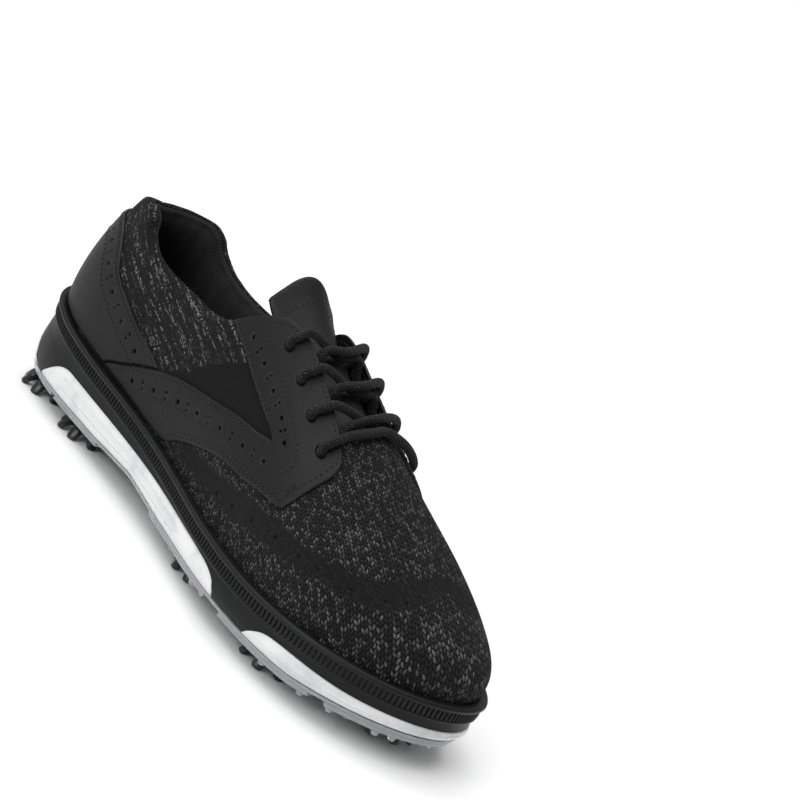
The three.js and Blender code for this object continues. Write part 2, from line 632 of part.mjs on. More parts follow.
const DISC_TOP = PAD_FOOT - GAP;
const DISC_THICK = 2.6;
const LEG_WIDTH = 4.4;
const STAR_RADIUS = 3.4;

function cleat({ x, y }) {
  const legs = [[6.5, DISC_TOP], [11.4, DISC_TOP - 0.6], [CLEAT_REACH, -FLAT], [CLEAT_REACH - 2.2, -FLAT],
    [10.2, DISC_TOP - 4.2], [6.5, DISC_TOP - DISC_THICK]];
  let solid = toManifold(tube(CLEAT_BODY, DISC_TOP - DISC_THICK, DISC_TOP));
  solid = solid.add(toManifold(tube(CUP_BORE - GAP, DISC_TOP - 1, CUP_TOP - CUP_ROOF - GAP, 10)));
  for (let i = 0; i < CLEAT_LEGS; i++) {
    const g = prism(legs, -LEG_WIDTH / 2, LEG_WIDTH / 2);
    g.rotateX(Math.PI / 2);
    g.rotateZ(2 * Math.PI * (i + 0.5) / CLEAT_LEGS);
    solid = solid.add(toManifold(g));
  }
  const star = tube(STAR_RADIUS, DISC_TOP - DISC_THICK - 1, DISC_TOP - DISC_THICK + 1, 8);
  const g = toGeometry(solid.subtract(toManifold(star)));
  g.applyMatrix4(cleatFrame(x, y));
  return g;
}

// ---------- tongue ----------
const ON = SKIN + OVERLAY + LACE_RADIUS + 0.35;     // lace axis above the knit where it lies on a facing
const UNDER = -KNIT - LACE_RADIUS - 0.9;            // and under it
const STRAND_ROOM = 6.4;        // depth that the tongue's tables leave for the lace under the knit
const TONGUE_SINK = 1.2 * (LACE_RADIUS - UNDER - STRAND_ROOM);
const TONGUE_CREST = smoothTable([[-24, 121], [-18, 116], [0, 105.4], [20, 97], [40, 89.6], [52, 86.2],
  [64, 81.6]]);
const TONGUE_HALF = smoothTable([[-24, 14.9], [-8, 13.5], [30, 13.5], [64, 12.6]]);
const TONGUE_SHIFT = -1.6;      // the throat lies this far to the lateral side
const TONGUE_FALL = 10;         // edge below the crest at the width below
const TONGUE_AT = 17;
const TONGUE_SHELL = 1.5;
const TONGUE_PAD = 3.5;

function tonguePoint(x, y, depth) {
  const z = weltTop(x * SX) + (TONGUE_CREST(x) - weltTop(x * SX)) * COLLAR_SCALE
    - TONGUE_FALL * (y / TONGUE_AT) ** 2 - TONGUE_SINK;
  const dx = (TONGUE_CREST(x + 1) - TONGUE_CREST(x - 1)) / 2;
  const dy = -2 * TONGUE_FALL * y / TONGUE_AT ** 2;
  const len = Math.hypot(dx, dy, 1);
  return [x * SX - depth * dx / len, y + TONGUE_SHIFT - depth * dy / len, z + depth / len];
}

function tongue(low, high) {
  const xs = Array.from({ length: 11 }, (_, i) => -24 + 88 * i / 10);
  const ys = Array.from({ length: 7 }, (_, j) => -1 + j / 3);
  const layer = (d) => xs.map((x) => ys.map((f) => tonguePoint(x, f * TONGUE_HALF(x) * WIDTH_SCALE, d)));
  return outward(gridSolid(layer(high), layer(low)));
}

// ---------- collar lining ----------
function collarHeight(s) {
  const rows = [...COLLAR, [147, 0.555], [160, 0.66]].sort((a, b) => a[0] - b[0]);
  return smoothTable(rows)(Math.abs(s));
}

function collarLining() {
  const face = KNIT + 1.5 * GAP;
  const back = face + COUNTER + 1.5 * GAP;
  const foot = 0.05;
  const profile = (top) => [[foot, -back], [top - 0.14, -back], [top - 0.07, -face], [top, -face],
    [top + 0.022, -face - 1.6], [top + 0.02, -face - COLLAR_PAD + 1.4], [top - 0.01, -face - COLLAR_PAD],
    [top - 0.12, -face - COLLAR_PAD], [top - 0.21, -back - LINING], [foot, -back - LINING]];
  const end = 150;
  const inner = Math.floor(end / STEP_GIRTH);
  const stations = Array.from({ length: 2 * inner + 1 }, (_, i) => (i - inner) * STEP_GIRTH);
  const girths = [-end, ...stations, end];
  const count = girths.length - 1;
  const points = [];
  const faces = [];
  const m = profile(0.5).length;
  girths.forEach((s) => {
    profile(collarHeight(s)).forEach(([t, w]) => points.push(wall(s || 0.001, t, w)));
  });
  for (let i = 0; i < count; i++) {
    for (let j = 0; j < m; j++) {
      const k = (j + 1) % m;
      faces.push([i * m + j, i * m + k, (i + 1) * m + k], [i * m + j, (i + 1) * m + k, (i + 1) * m + j]);
    }
  }
  const cap = THREE.ShapeUtils.triangulateShape(
    profile(0.5).map(([t, w]) => new THREE.Vector2(t * HEIGHT_UNIT, w)), []);
  cap.forEach(([a, b, c]) => faces.push([a, b, c], [count * m + a, count * m + c, count * m + b]));
  const g = indexed(points, faces);
  return outward(consistent(g, m, count));
}

function consistent(g, m, count) {
  const solid = g.index.array;
  const capStart = count * m * 6;
  const edges = new Set();
  for (let i = 0; i < capStart; i += 3) {
    for (let k = 0; k < 3; k++) edges.add(`${solid[i + k]},${solid[i + (k + 1) % 3]}`);
  }
  for (let i = capStart; i < solid.length; i += 3) {
    const same = [0, 1, 2].some((k) => edges.has(`${solid[i + k]},${solid[i + (k + 1) % 3]}`));
    if (same) [solid[i + 1], solid[i + 2]] = [solid[i + 2], solid[i + 1]];
  }
  return g;
}

// ---------- lace ----------
class Route extends THREE.CatmullRomCurve3 {
  getPointAt(u, target) {
    return this.getPoint(u, target);
  }

  getTangentAt(u, target) {
    return this.getTangent(u, target);
  }
}

const LATERAL = 1;
const MEDIAL = -1;

function overTongue(x, lift) {
  return tonguePoint(x, 0, LACE_RADIUS + 0.4 + lift);
}

// from inside eyelet n on one side, out, across, and under the other side to inside eyelet n + 1
function strand(side, n) {
  const [s, t] = EYELETS[n];
  const [s2, t2] = EYELETS[n + 1];
  const lift = side === MEDIAL ? 2 * LACE_RADIUS + 0.5 : 0;
  const x = edgeAt(s + 8).p[0] / SX + 0.5;
  return [wall(side * s, t, -2.6), wall(side * s, t, 0.4), wall(side * s, t + 0.02, ON - 0.4),
    wall(side * (s + 1), t + 0.055, ON), wall(side * (s + 2), 0.745, ON), overTongue(x, lift),
    wall(-side * (s + 10), 0.81, -1.9), wall(-side * (s + 12), 0.73, UNDER + 0.2),
    wall(-side * (s + 14.5), 0.68, UNDER), wall(-side * (s2 - 0.8), t2 + 0.012, UNDER),
    wall(-side * s2, t2, -2.6)];
}

function tail(side) {
  const [s, t] = EYELETS[0];
  const deep = UNDER - 1;
  const route = [[300, 0.06], [288, 0.055], [276, 0.05], [264, 0.05], [252, 0.05], [240, 0.05], [228, 0.055],
    [217, 0.07], [207, 0.095], [198, 0.13], [191, 0.18], [185, 0.24], [180, 0.31], [176, 0.39], [173, 0.47],
    [171, 0.55]];
  return [...route.map(([a, b]) => wall(side * a, b, deep)), wall(side * s, t - 0.01, UNDER),
    wall(side * s, t, -2.6)];
}

function laceRoute() {
  const down = [...strand(LATERAL, 0), ...strand(MEDIAL, 1).slice(1), ...strand(LATERAL, 2).slice(1)];
  const up = [...strand(MEDIAL, 0), ...strand(LATERAL, 1).slice(1), ...strand(MEDIAL, 2).slice(1)];
  const [s, t] = EYELETS[3];
  const end = (side) => [wall(side * s, t, 0.4), wall(side * s, t + 0.02, ON - 0.4),
    wall(side * s, t + 0.06, ON + 0.2)];
  const crest = edgeAt(s).p[0];
  const rise = (side) => [wall(side * s, 0.78, ON - 0.4), wall(side * s, 0.9, LACE_RADIUS + 0.8)];
  const bar = [...end(MEDIAL), ...rise(MEDIAL),
    [crestX(crest), 0, crestZ(crestX(crest)) + LACE_RADIUS + 0.7],
    ...rise(LATERAL).reverse(), ...end(LATERAL).reverse()];
  const points = [...tail(LATERAL), ...down.slice(1), ...bar, ...up.slice().reverse(),
    ...tail(MEDIAL).reverse().slice(1)];
  return points.map((p) => new THREE.Vector3(...p));
}

function lace() {
  const route = new Route(laceRoute(), false, 'centripetal');
  const section = new THREE.Shape();
  section.absarc(0, 0, LACE_RADIUS, 0, 2 * Math.PI);
  const steps = route.points.length - 1;
  const g = new THREE.ExtrudeGeometry(section, { steps, curveSegments: 4, extrudePath: route });
  return outward(mergeVertices(stripped(toIndexed(g)), 1e-4));
}

function toIndexed(g) {
  if (!g.index) g.setIndex(Array.from({ length: g.getAttribute('position').count }, (_, i) => i));
  return g;
}

// ---------- assembly ----------
const shoe = new THREE.Group();
shoe.name = 'golf_shoe';

const KNIT_BLACK = { color: 0x1b1b1c, roughness: 0.95, metalness: 0 };
const LEATHER = { color: 0x2b2b2d, roughness: 0.55, metalness: 0 };
const FOAM_BLACK = { color: 0x17181a, roughness: 0.6, metalness: 0 };
const WHITE = { color: 0xf0f0f0, roughness: 0.35, metalness: 0 };
const CLEAR = { color: 0xdfe3e6, roughness: 0.12, metalness: 0, transparent: true, opacity: 0.55 };
const CLEAT_BLACK = { color: 0x0e0e10, roughness: 0.35, metalness: 0 };
const MESH_BLACK = { color: 0x141414, roughness: 0.95, metalness: 0 };
const GREY = { color: 0x77797b, roughness: 0.4, metalness: 0 };
const BOARD_GREY = { color: 0x8a8a86, roughness: 0.9, metalness: 0 };
const LACE_GREY = { color: 0x242424, roughness: 0.9, metalness: 0 };

function add(name, geometry, finish) {
  const mesh = new THREE.Mesh(geometry, new THREE.MeshStandardMaterial(finish));
  mesh.name = name;
  shoe.add(mesh);
}

// upper
const punch = (radius) => EYELETS.map(([s, t]) => ({ s, t, radius, stretch: HEIGHT_STRETCH }));
const eyeletHoles = punch(EYELET_RADIUS);
const knitHoles = punch(EYELET_RADIUS + KNIT_EASE);
const behindJoint = [...JOINT_LINE, [217, 0.99], [60, 0.99], [60, -0.03], [118, -0.03]];
let vamp = toManifold(frontShell(8 * STEP_GIRTH, -KNIT, 0, 0));
[LATERAL, MEDIAL].forEach((side) => {
  vamp = vamp.subtract(toManifold(patch(behindJoint, -KNIT - 2.5, 3, side)));
});
const throatBox = new THREE.BoxGeometry(170, 30, 120);
throatBox.translate(edgeAt(217).p[0] + 1 - 85, 0, 70 + 60);
vamp = vamp.subtract(toManifold(throatBox));
[LATERAL, MEDIAL].forEach((side) => {
  const hole = tube(EYELET_RADIUS + KNIT_EASE, -8, 8, 12);
  const [s, t] = EYELETS[3];
  const aim = new THREE.Quaternion().setFromUnitVectors(new THREE.Vector3(0, 0, 1), wallNormal(side * s, t));
  hole.applyQuaternion(aim);
  hole.translate(...wall(side * s, t, 0));
  vamp = vamp.subtract(toManifold(hole));
});
add('vamp_knit', toGeometry(vamp), KNIT_BLACK);

const quarterOutline = [[0.2, 0], [117.4, 0], ...JOINT_LINE.slice(1).map(([s, t]) => [s - 0.5, t + 0.003]),
  ...KNIT_THROAT, [143.5, 0.53], [139.5, 0.475], ...COLLAR.slice(1, -1), [0.2, 0.515]];
add('quarter_knit_lateral', patch(quarterOutline, -KNIT, 0, LATERAL, knitHoles), KNIT_BLACK);
add('quarter_knit_medial', patch(quarterOutline, -KNIT, 0, MEDIAL, knitHoles), KNIT_BLACK);
add('wing_lateral', patch(WING, SKIN, SKIN + OVERLAY, LATERAL, eyeletHoles), LEATHER);
add('wing_medial', patch(WING, SKIN, SKIN + OVERLAY, MEDIAL, eyeletHoles), LEATHER);
add('heel_foxing', patch(roundHeel(FOXING_EDGE, FOXING_BACK), SKIN, SKIN + OVERLAY), LEATHER);
const counterHalf = [[96, 0.05], [94, 0.16], [72, 0.26], [40, 0.31]];
add('heel_counter', patch(roundHeel(counterHalf, [0, 0.33]), -KNIT - GAP - COUNTER, -KNIT - GAP), BOARD_GREY);
add('toe_puff', frontShell(23 * STEP_GIRTH, -KNIT - GAP - PUFF, -KNIT - GAP, STEP_HEIGHT), BOARD_GREY);
add('collar_lining', collarLining(), MESH_BLACK);
add('tongue_shell', tongue(-TONGUE_SHELL, 0), LEATHER);
add('tongue_lining', tongue(-TONGUE_SHELL - GAP - TONGUE_PAD, -TONGUE_SHELL - GAP), MESH_BLACK);
add('lace', lace(), LACE_GREY);

// footbed
const BED_CLEAR = 0.5;
const boardFoot = (x) => footbed(x) + GAP;
add('lasting_board', ringSolid([[FOOTBED_INSET + BED_CLEAR, boardFoot],
  [FOOTBED_INSET + BED_CLEAR, lower(boardFoot, -BOARD)]]), BOARD_GREY);
const insoleFoot = lower(boardFoot, -BOARD - GAP);
add('insole', ringSolid([[FOOTBED_INSET + BED_CLEAR, insoleFoot],
  [FOOTBED_INSET + BED_CLEAR, lower(insoleFoot, -INSOLE)]]), MESH_BLACK);

// midsole with its pockets
const plateTop = (x) => bottom(x) + WALL_FOOT;
const ledge = lower(weltTop, UPPER_SINK + GAP);
let midsole = toManifold(ringSolid([[9, plateTop], [3.4, plateTop], [1.9, lower(plateTop, -2.7)],
  [1.5, (x) => (plateTop(x) + panelTop(x)) / 2], [2.2, panelTop], [2.2, lower(weltTop, 8.2)],
  [1, lower(weltTop, 7.6)], [1, lower(weltTop, 7)], [1.7, lower(weltTop, 6.6)], [1.7, lower(weltTop, 2.4)],
  [0, lower(weltTop, 2)], [0, lower(weltTop, 0.5)], [0.6, weltTop], [LIP_WIDTH - 0.4, weltTop],
  [LIP_WIDTH, lower(weltTop, 0.5)], [LIP_WIDTH, ledge], [FOOTBED_INSET - 0.2, ledge],
  [FOOTBED_INSET, footbed]]));
PANELS.forEach(([, outline, side]) => {
  const flat = outline.map(([s, q]) => [s, q * PANEL_HEIGHT]);
  const pocket = grow(flat, 1.5 * GAP).map(([s, h]) => [s, h / PANEL_HEIGHT]);
  const cut = panel(pocket, SIDEWALL_PROUD - SIDEWALL - GAP, SIDEWALL_PROUD + 2, side);
  midsole = midsole.subtract(toManifold(cut));
});
cleatAt.forEach(({ x, y }) => {
  const pocket = tube(CUP_RADIUS + GAP, -20, CUP_TOP + GAP);
  pocket.applyMatrix4(cleatFrame(x, y));
  midsole = midsole.subtract(toManifold(pocket));
});
const shankOutline = [[-64, -9], [-60, 7], [12, 7], [14, -9]];
const shankHigh = WALL_FOOT + SHANK;
const shankPocket = underPlate(grow(shankOutline, GAP), -1, shankHigh + GAP);
midsole = midsole.subtract(toManifold(shankPocket));
add('midsole', toGeometry(midsole), FOAM_BLACK);
add('shank_plate', underPlate(shankOutline, WALL_FOOT, shankHigh), BOARD_GREY);
PANELS.forEach(([name, outline, side]) => {
  add(name, panel(outline, SIDEWALL_PROUD - SIDEWALL, SIDEWALL_PROUD, side), WHITE);
});

// outsole
let plate = toManifold(ringSolid([[9, bottom], [PLATE_INSET + 0.5, bottom],
  [PLATE_INSET, lower(bottom, -0.5)], [PLATE_INSET, lower(bottom, -PLATE)], [9, lower(bottom, -PLATE)]]));
cleatAt.forEach(({ x, y }) => {
  const hole = tube(CUP_RADIUS + GAP, -20, 20);
  hole.applyMatrix4(cleatFrame(x, y));
  plate = plate.subtract(toManifold(hole));
});
add('outsole_plate', toGeometry(plate), CLEAR);
const arms = WEB_ARMS.map(([[ax, ay], [bx, by]]) => {
  const len = Math.hypot(bx - ax, by - ay);
  const u = [WEB_HALF * (bx - ax) / len, WEB_HALF * (by - ay) / len];
  return toManifold(prism([[ax + u[1], ay - u[0]], [bx + u[1], by - u[0]], [bx - u[1], by + u[0]],
    [ax - u[1], ay + u[0]]].map(([x, y]) => [x * SX, y * WIDTH_SCALE]), FLAT - GAP - WEB, FLAT - GAP));
});
add('forefoot_web', toGeometry(arms.reduce((a, b) => a.add(b))), FOAM_BLACK);
const leaf = LEAF.map(([x, y]) => [x * SX, y * WIDTH_SCALE]);
const leafTop = -GAP - BEND_EASE;
const leafRim = grow(leaf, FRAME_WIDTH);
add('waist_medallion', underPlate(leaf, leafTop - WEB, leafTop), GREY);
add('waist_frame', underPlate(leafRim, leafTop - WEB - FRAME_PROUD, leafTop, grow(leaf, GAP)), FOAM_BLACK);
cleatAt.forEach((c) => {
  add(`pod_${c.name}`, pod(c.name), CLEAR);
  add(`receptacle_${c.name}`, receptacle(c), CLEAT_BLACK);
  add(`cleat_${c.name}`, cleat(c), CLEAT_BLACK);
});

// the box is centred over the origin and the cleats stand on z = 0
const box = new THREE.Box3().setFromObject(shoe);
const centre = box.getCenter(new THREE.Vector3());
shoe.children.forEach((mesh) => {
  mesh.geometry.translate(-centre.x, -centre.y, -box.min.z);
  mesh.geometry.computeVertexNormals();
});

export default shoe;
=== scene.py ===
# %% [markdown]
# A golf shoe is built the way a shoemaker would lay it out: one smooth foot shape, called the last, and flat
# patterns wrapped over it. The imported CAD model gives the size and the place of every piece. This first cell
# loads that model as a fixed frame and groups its parts under their bodies.
# %% load the frame
import json
import math
import bpy
import bmesh
import numpy as np
from mathutils import Matrix, Vector, geometry

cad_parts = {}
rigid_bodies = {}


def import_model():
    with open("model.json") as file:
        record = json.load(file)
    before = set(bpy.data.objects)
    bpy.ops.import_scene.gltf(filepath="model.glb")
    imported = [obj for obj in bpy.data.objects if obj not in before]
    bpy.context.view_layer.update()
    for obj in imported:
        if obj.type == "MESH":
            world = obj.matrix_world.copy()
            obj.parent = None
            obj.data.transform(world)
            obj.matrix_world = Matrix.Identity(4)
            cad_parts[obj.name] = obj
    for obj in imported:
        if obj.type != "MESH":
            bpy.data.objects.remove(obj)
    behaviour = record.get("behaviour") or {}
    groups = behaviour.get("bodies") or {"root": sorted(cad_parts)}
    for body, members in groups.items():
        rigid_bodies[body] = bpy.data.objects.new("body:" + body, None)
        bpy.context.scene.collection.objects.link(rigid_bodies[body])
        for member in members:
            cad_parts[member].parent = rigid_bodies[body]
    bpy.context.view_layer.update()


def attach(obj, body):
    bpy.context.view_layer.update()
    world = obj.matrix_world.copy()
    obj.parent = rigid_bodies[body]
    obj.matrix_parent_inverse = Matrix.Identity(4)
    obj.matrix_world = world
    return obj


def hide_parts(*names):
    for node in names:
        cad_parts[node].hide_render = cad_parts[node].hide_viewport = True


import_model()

# %% [markdown]
# The camera comes early because every later choice of detail is judged through it. A long lens keeps the
# shoe from looking distorted. The camera is rolled, so that the level shoe points down and to the right.
# %% camera
CAMERA_PLACE = Vector((0.5143, -0.5827, 0.296))
CAMERA_AZIMUTH = math.radians(38.7)
CAMERA_ELEVATION = math.radians(14.1)
CAMERA_ROLL = math.radians(31.4)
CAMERA_LENS = 85.4


def camera_turn(azimuth, elevation, roll):
    back = Vector((math.sin(azimuth) * math.cos(elevation), -math.cos(azimuth) * math.cos(elevation),
                   math.sin(elevation)))
    right = Vector((math.cos(azimuth), math.sin(azimuth), 0.0))
    up = back.cross(right)
    level = Matrix((right, up, back)).transposed()
    return level @ Matrix.Rotation(roll, 3, "Z")


camera_data = bpy.data.cameras.new("camera")
camera_data.lens = CAMERA_LENS
camera_data.sensor_width = 36.0
camera_data.clip_start = 0.01
camera = bpy.data.objects.new("camera", camera_data)
camera.matrix_world = Matrix.Translation(CAMERA_PLACE) @ camera_turn(
    CAMERA_AZIMUTH, CAMERA_ELEVATION, CAMERA_ROLL).to_4x4()
bpy.context.scene.collection.objects.link(camera)
bpy.context.scene.camera = camera
print("camera at", tuple(round(v, 3) for v in camera.location))

# %% [markdown]
# Every part of the shoe follows a few smooth tables along its length: how high the welt is, where the crest
# of the foot lies, how full the side is. A table is a handful of points joined by a curve that never
# overshoots, so a slope stays a slope. Numpy reads all points of a mesh at once, which keeps fine meshes
# quick.
# %% tables along the shoe
MM = 0.001
SHIFT = np.array((-1.7005, 2.344, 0.0))


def smooth_table(rows):
    x, y = np.array(rows, float).T
    d = np.diff(y) / np.diff(x)
    m = np.concatenate(([d[0]], np.zeros(len(x) - 2), [d[-1]]))
    same = d[:-1] * d[1:] > 0
    m[1:-1][same] = (2 * d[:-1] * d[1:])[same] / (d[:-1] + d[1:])[same]

    def read(v):
        v = np.asarray(v, float)
        i = np.clip(np.searchsorted(x, v) - 1, 0, len(x) - 2)
        h = x[i + 1] - x[i]
        f = (v - x[i]) / h
        g = 1 - f
        inner = (y[i] * g * g * (1 + 2 * f) + y[i + 1] * f * f * (1 + 2 * g)
                 + h * f * g * (m[i] * g - m[i + 1] * f))
        before = y[0] + m[0] * (v - x[0])
        after = y[-1] + m[-1] * (v - x[-1])
        return np.where(f < 0, before, np.where(f > 1, after, inner))
    return read


def straight_table(rows):
    x, y = np.array(rows, float).T

    def read(v):
        v = np.asarray(v, float)
        i = np.clip(np.searchsorted(x, v) - 1, 0, len(x) - 2)
        return y[i] + (v - x[i]) / (x[i + 1] - x[i]) * (y[i + 1] - y[i])
    return read


welt_top = smooth_table([(-150, 46), (-115, 40), (-80, 36.5), (-30, 33.5), (30, 29.5), (70, 28.5), (110, 29.5),
                         (140, 31), (154, 32.5)])
footbed = smooth_table([(-150, 31), (-100, 31), (-40, 28.5), (20, 23.5), (60, 21.5), (110, 21.5), (154, 23.5)])
bottom = straight_table([(-155, 9), (-60, 9), (-30, 11), (0, 9), (108, 9), (155, 13.7)])
panel_top = smooth_table([(-150, 34), (-127, 27.5), (-100, 24), (-60, 22.5), (-10, 21.5), (55, 19.5), (80, 19),
                          (120, 18.5), (154, 20)])
crest_x = smooth_table([(-150, -92), (-120, -86), (-90, -74), (-60, -54), (-20, -18), (10, 10), (60, 60),
                        (90, 89), (115, 107), (135, 117), (154, 121)])
crest_z = smooth_table([(-92, 165), (-55, 160), (-35, 146), (-18, 130), (0, 117), (20, 106), (40, 95.5), (60, 86),
                        (80, 77.5), (93, 72), (107, 65.5), (117, 60.5), (121, 58.5)])
wall_low = smooth_table([(-150, 0.2), (-110, 0.25), (-60, 0.32), (-20, 0.4), (20, 0.45), (60, 0.5), (100, 0.58),
                         (154, 0.62)])
wall_high = smooth_table([(-150, 0.9), (-110, 0.85), (-60, 0.82), (-35, 0.74), (-10, 0.6), (20, 0.52),
                          (60, 0.52), (100, 0.58), (154, 0.62)])
wall_drop = smooth_table([(-150, 0.36), (-110, 0.3), (-60, 0.25), (-35, 0.15), (-10, 0.04), (10, 0), (154, 0)])
bulge = smooth_table([(-150, 6), (-115, 4), (-60, 2), (0, 2), (60, 4), (110, 4), (154, 5)])
print("crest over the ball of the foot", round(float(crest_z(60)), 1), "mm")

# %% [markdown]
# The welt is the ledge where the upper meets the sole. Its outline is a closed curve through thirty points,
# made even and rounded off. After this, a place on the shoe's edge is one number: the girth from the heel,
# positive on the outer side and negative on the inner side.
# %% welt outline
WELT = np.array([(-150, 0), (-146.5, -16), (-135, -28), (-115, -35), (-88, -37.5), (-58, -38), (-28, -40),
                 (2, -44.5), (32, -51), (60, -55), (85, -55), (106, -50.5), (125, -41), (140, -28), (150, -12),
                 (153.5, 4), (150, 19), (140, 32), (124, 42.5), (104, 49), (82, 51), (58, 49), (30, 43.5),
                 (2, 37), (-28, 33), (-58, 32), (-88, 33.5), (-115, 32.5), (-135, 26.5), (-146.5, 15.5)], float)
RING = 480
HALF_GIRTH = 353.5


def through(points, closed, per_span):
    """Centripetal Catmull-Rom curve through the points."""
    points = np.asarray(points, float)
    n = len(points)
    if closed:
        p = [np.roll(points, 1 - k, axis=0) for k in range(4)]
    else:
        padded = np.vstack([2 * points[0] - points[1], points, 2 * points[-1] - points[-2]])
        p = [padded[k:k + n - 1] for k in range(4)]
    d = [np.maximum(np.linalg.norm(p[k + 1] - p[k], axis=1), 1e-9)[:, None] ** 0.5 for k in range(3)]
    a = ((p[1] - p[0]) / d[0] - (p[2] - p[0]) / (d[0] + d[1]) + (p[2] - p[1]) / d[1]) * d[1]
    b = ((p[2] - p[1]) / d[1] - (p[3] - p[1]) / (d[1] + d[2]) + (p[3] - p[2]) / d[2]) * d[1]
    w = (np.arange(per_span) / per_span)[None, :, None]
    p1, p2, a, b = p[1][:, None], p[2][:, None], a[:, None], b[:, None]
    out = (p1 + a * w + (-3 * p1 + 3 * p2 - 2 * a - b) * w ** 2 + (2 * p1 - 2 * p2 + a + b) * w ** 3)
    out = out.reshape(-1, points.shape[1])
    return out if closed else np.vstack([out, points[-1]])


def even(points, count, closed=False):
    path = np.vstack([points, points[:1]]) if closed else np.asarray(points, float)
    along = np.concatenate(([0], np.cumsum(np.linalg.norm(np.diff(path, axis=0), axis=1))))
    at = np.linspace(0, along[-1], count + 1)[:-1] if closed else np.linspace(0, along[-1], count)
    return np.stack([np.interp(at, along, path[:, k]) for k in range(path.shape[1])], axis=1)


ring = even(through(WELT, True, 120), RING, closed=True)
for _ in range(40):
    ring = (np.roll(ring, 1, axis=0) + 2 * ring + np.roll(ring, -1, axis=0)) / 4
TOE = int(np.argmax(ring[:, 0]))
LATERAL_RING = ring[:TOE + 1]
MEDIAL_RING = np.vstack([ring[:1], ring[TOE:][::-1]])


def ring_tangents(side, sign):
    t = np.zeros_like(side)
    t[1:-1] = side[2:] - side[:-2]
    t[1:-1] /= np.linalg.norm(t[1:-1], axis=1)[:, None]
    t[0] = (0, -sign)
    t[-1] = (0, sign)
    return t


LATERAL_TANGENT = ring_tangents(LATERAL_RING, 1)
MEDIAL_TANGENT = ring_tangents(MEDIAL_RING, -1)


def on_ring(values, f):
    i = np.clip(np.floor(f).astype(int), 0, len(values) - 2)
    g = (f - i)[..., None]
    return values[i] * (1 - g) + values[i + 1] * g


def edge(s):
    """Place on the welt edge and its outward normal, in plan."""
    s = np.asarray(s, float)
    f = np.minimum(np.abs(s) / HALF_GIRTH, 1) * (len(LATERAL_RING) - 1)
    lateral = on_ring(LATERAL_RING, f)
    g = np.interp(lateral[..., 0], MEDIAL_RING[:, 0], np.arange(len(MEDIAL_RING)))
    inner = (s < 0)[..., None]
    p = np.where(inner, on_ring(MEDIAL_RING, g), lateral)
    t = np.where(inner, on_ring(MEDIAL_TANGENT, g), on_ring(LATERAL_TANGENT, f))
    t = t / np.linalg.norm(t, axis=-1)[..., None]
    sign = np.where(s < 0, -1.0, 1.0)[..., None]
    return p, sign * np.stack([t[..., 1], -t[..., 0]], axis=-1)


print("welt from", np.round(ring.min(0), 1), "to", np.round(ring.max(0), 1))

# %% [markdown]
# The upper's surface is a sheet of Bezier curves. Each rises from the welt edge, bulges over the side of the
# foot and ends at the crest. A place on it is a girth s and a height t from 0 at the welt to 1 at the crest,
# and w is the depth above the surface. Flat shoe patterns drawn in s and t can then be laid on the last
# exactly.
# %% surface of the last
WELT_LEDGE = 5.0
UPPER_SINK = 2.0


def last_point(s, t):
    p, n = edge(s)
    x = p[..., 0]
    foot = np.stack([x - n[..., 0] * WELT_LEDGE, p[..., 1] - n[..., 1] * WELT_LEDGE,
                     welt_top(x) - UPPER_SINK], axis=-1)
    cx = crest_x(x)
    crest = np.stack([cx, np.where(cx > 60, (cx - 60) * 0.06, 0), crest_z(cx)], axis=-1)
    rise = crest[..., 2] - foot[..., 2]
    span = foot[..., :2] - crest[..., :2]
    slope = np.where(x > 30, (crest_z(cx + 1) - crest_z(cx - 1)) / 2, 0)
    high, full = wall_high(x), bulge(x)
    low = np.stack([foot[..., 0] + n[..., 0] * full, foot[..., 1] + n[..., 1] * full,
                    foot[..., 2] + wall_low(x) * rise], axis=-1)
    top = np.stack([crest[..., 0] + span[..., 0] * high, crest[..., 1] + span[..., 1] * high,
                    crest[..., 2] - wall_drop(x) * rise + slope * span[..., 0] * high], axis=-1)
    t = np.asarray(t, float)[..., None]
    u = 1 - t
    return u ** 3 * foot + 3 * u * u * t * low + 3 * u * t * t * top + t ** 3 * crest


def last_normal(s, t):
    s, t = np.broadcast_arrays(np.asarray(s, float), np.asarray(t, float))
    s0 = np.where(np.abs(s) > 1.5, s - 1.5, s)
    s1 = np.where(np.abs(s) < HALF_GIRTH - 1.5, s + 1.5, s)
    t0 = np.clip(t - 0.01, 0, 0.98)
    n = np.cross(last_point(s1, t) - last_point(s0, t), last_point(s, t0 + 0.02) - last_point(s, t0))
    n /= np.linalg.norm(n, axis=-1)[..., None] + 1e-12
    out = edge(s)[1]
    inward = n[..., 0] * out[..., 0] + n[..., 1] * out[..., 1] + n[..., 2] < 0
    n = np.where(inward[..., None], -n, n)
    cx = crest_x(edge(s)[0][..., 0])
    slope = (crest_z(cx + 1) - crest_z(cx - 1)) / 2
    crest = np.stack([-slope, np.zeros_like(slope), np.ones_like(slope)], axis=-1)
    crest /= np.linalg.norm(crest, axis=-1)[..., None]
    near = np.clip((t - 0.97) / 0.025, 0, 1)[..., None]
    n = n * (1 - near) + crest * near
    return n / np.linalg.norm(n, axis=-1)[..., None]


def on_last(s, t, w=0.0):
    """Metres, in the shoe's frame."""
    s = np.where(np.asarray(s, float) == 0, 1e-3, s)
    w = np.asarray(w, float)[..., None]
    return (last_point(s, t) + last_normal(s, t) * w + SHIFT) * MM


print("heel of the last", np.round(on_last(0.001, 0.0) / MM, 1), "mm")

# %% [markdown]
# The finishes come next, because each piece is given one as it is made. Every finish is a node material:
# noise and cell patterns stand for grain, weave and flecks, and drive colour, roughness and bump. The small
# class below only saves typing. Patterns that several finishes share, such as grain and worn edges, are node
# groups.
# %% node helpers


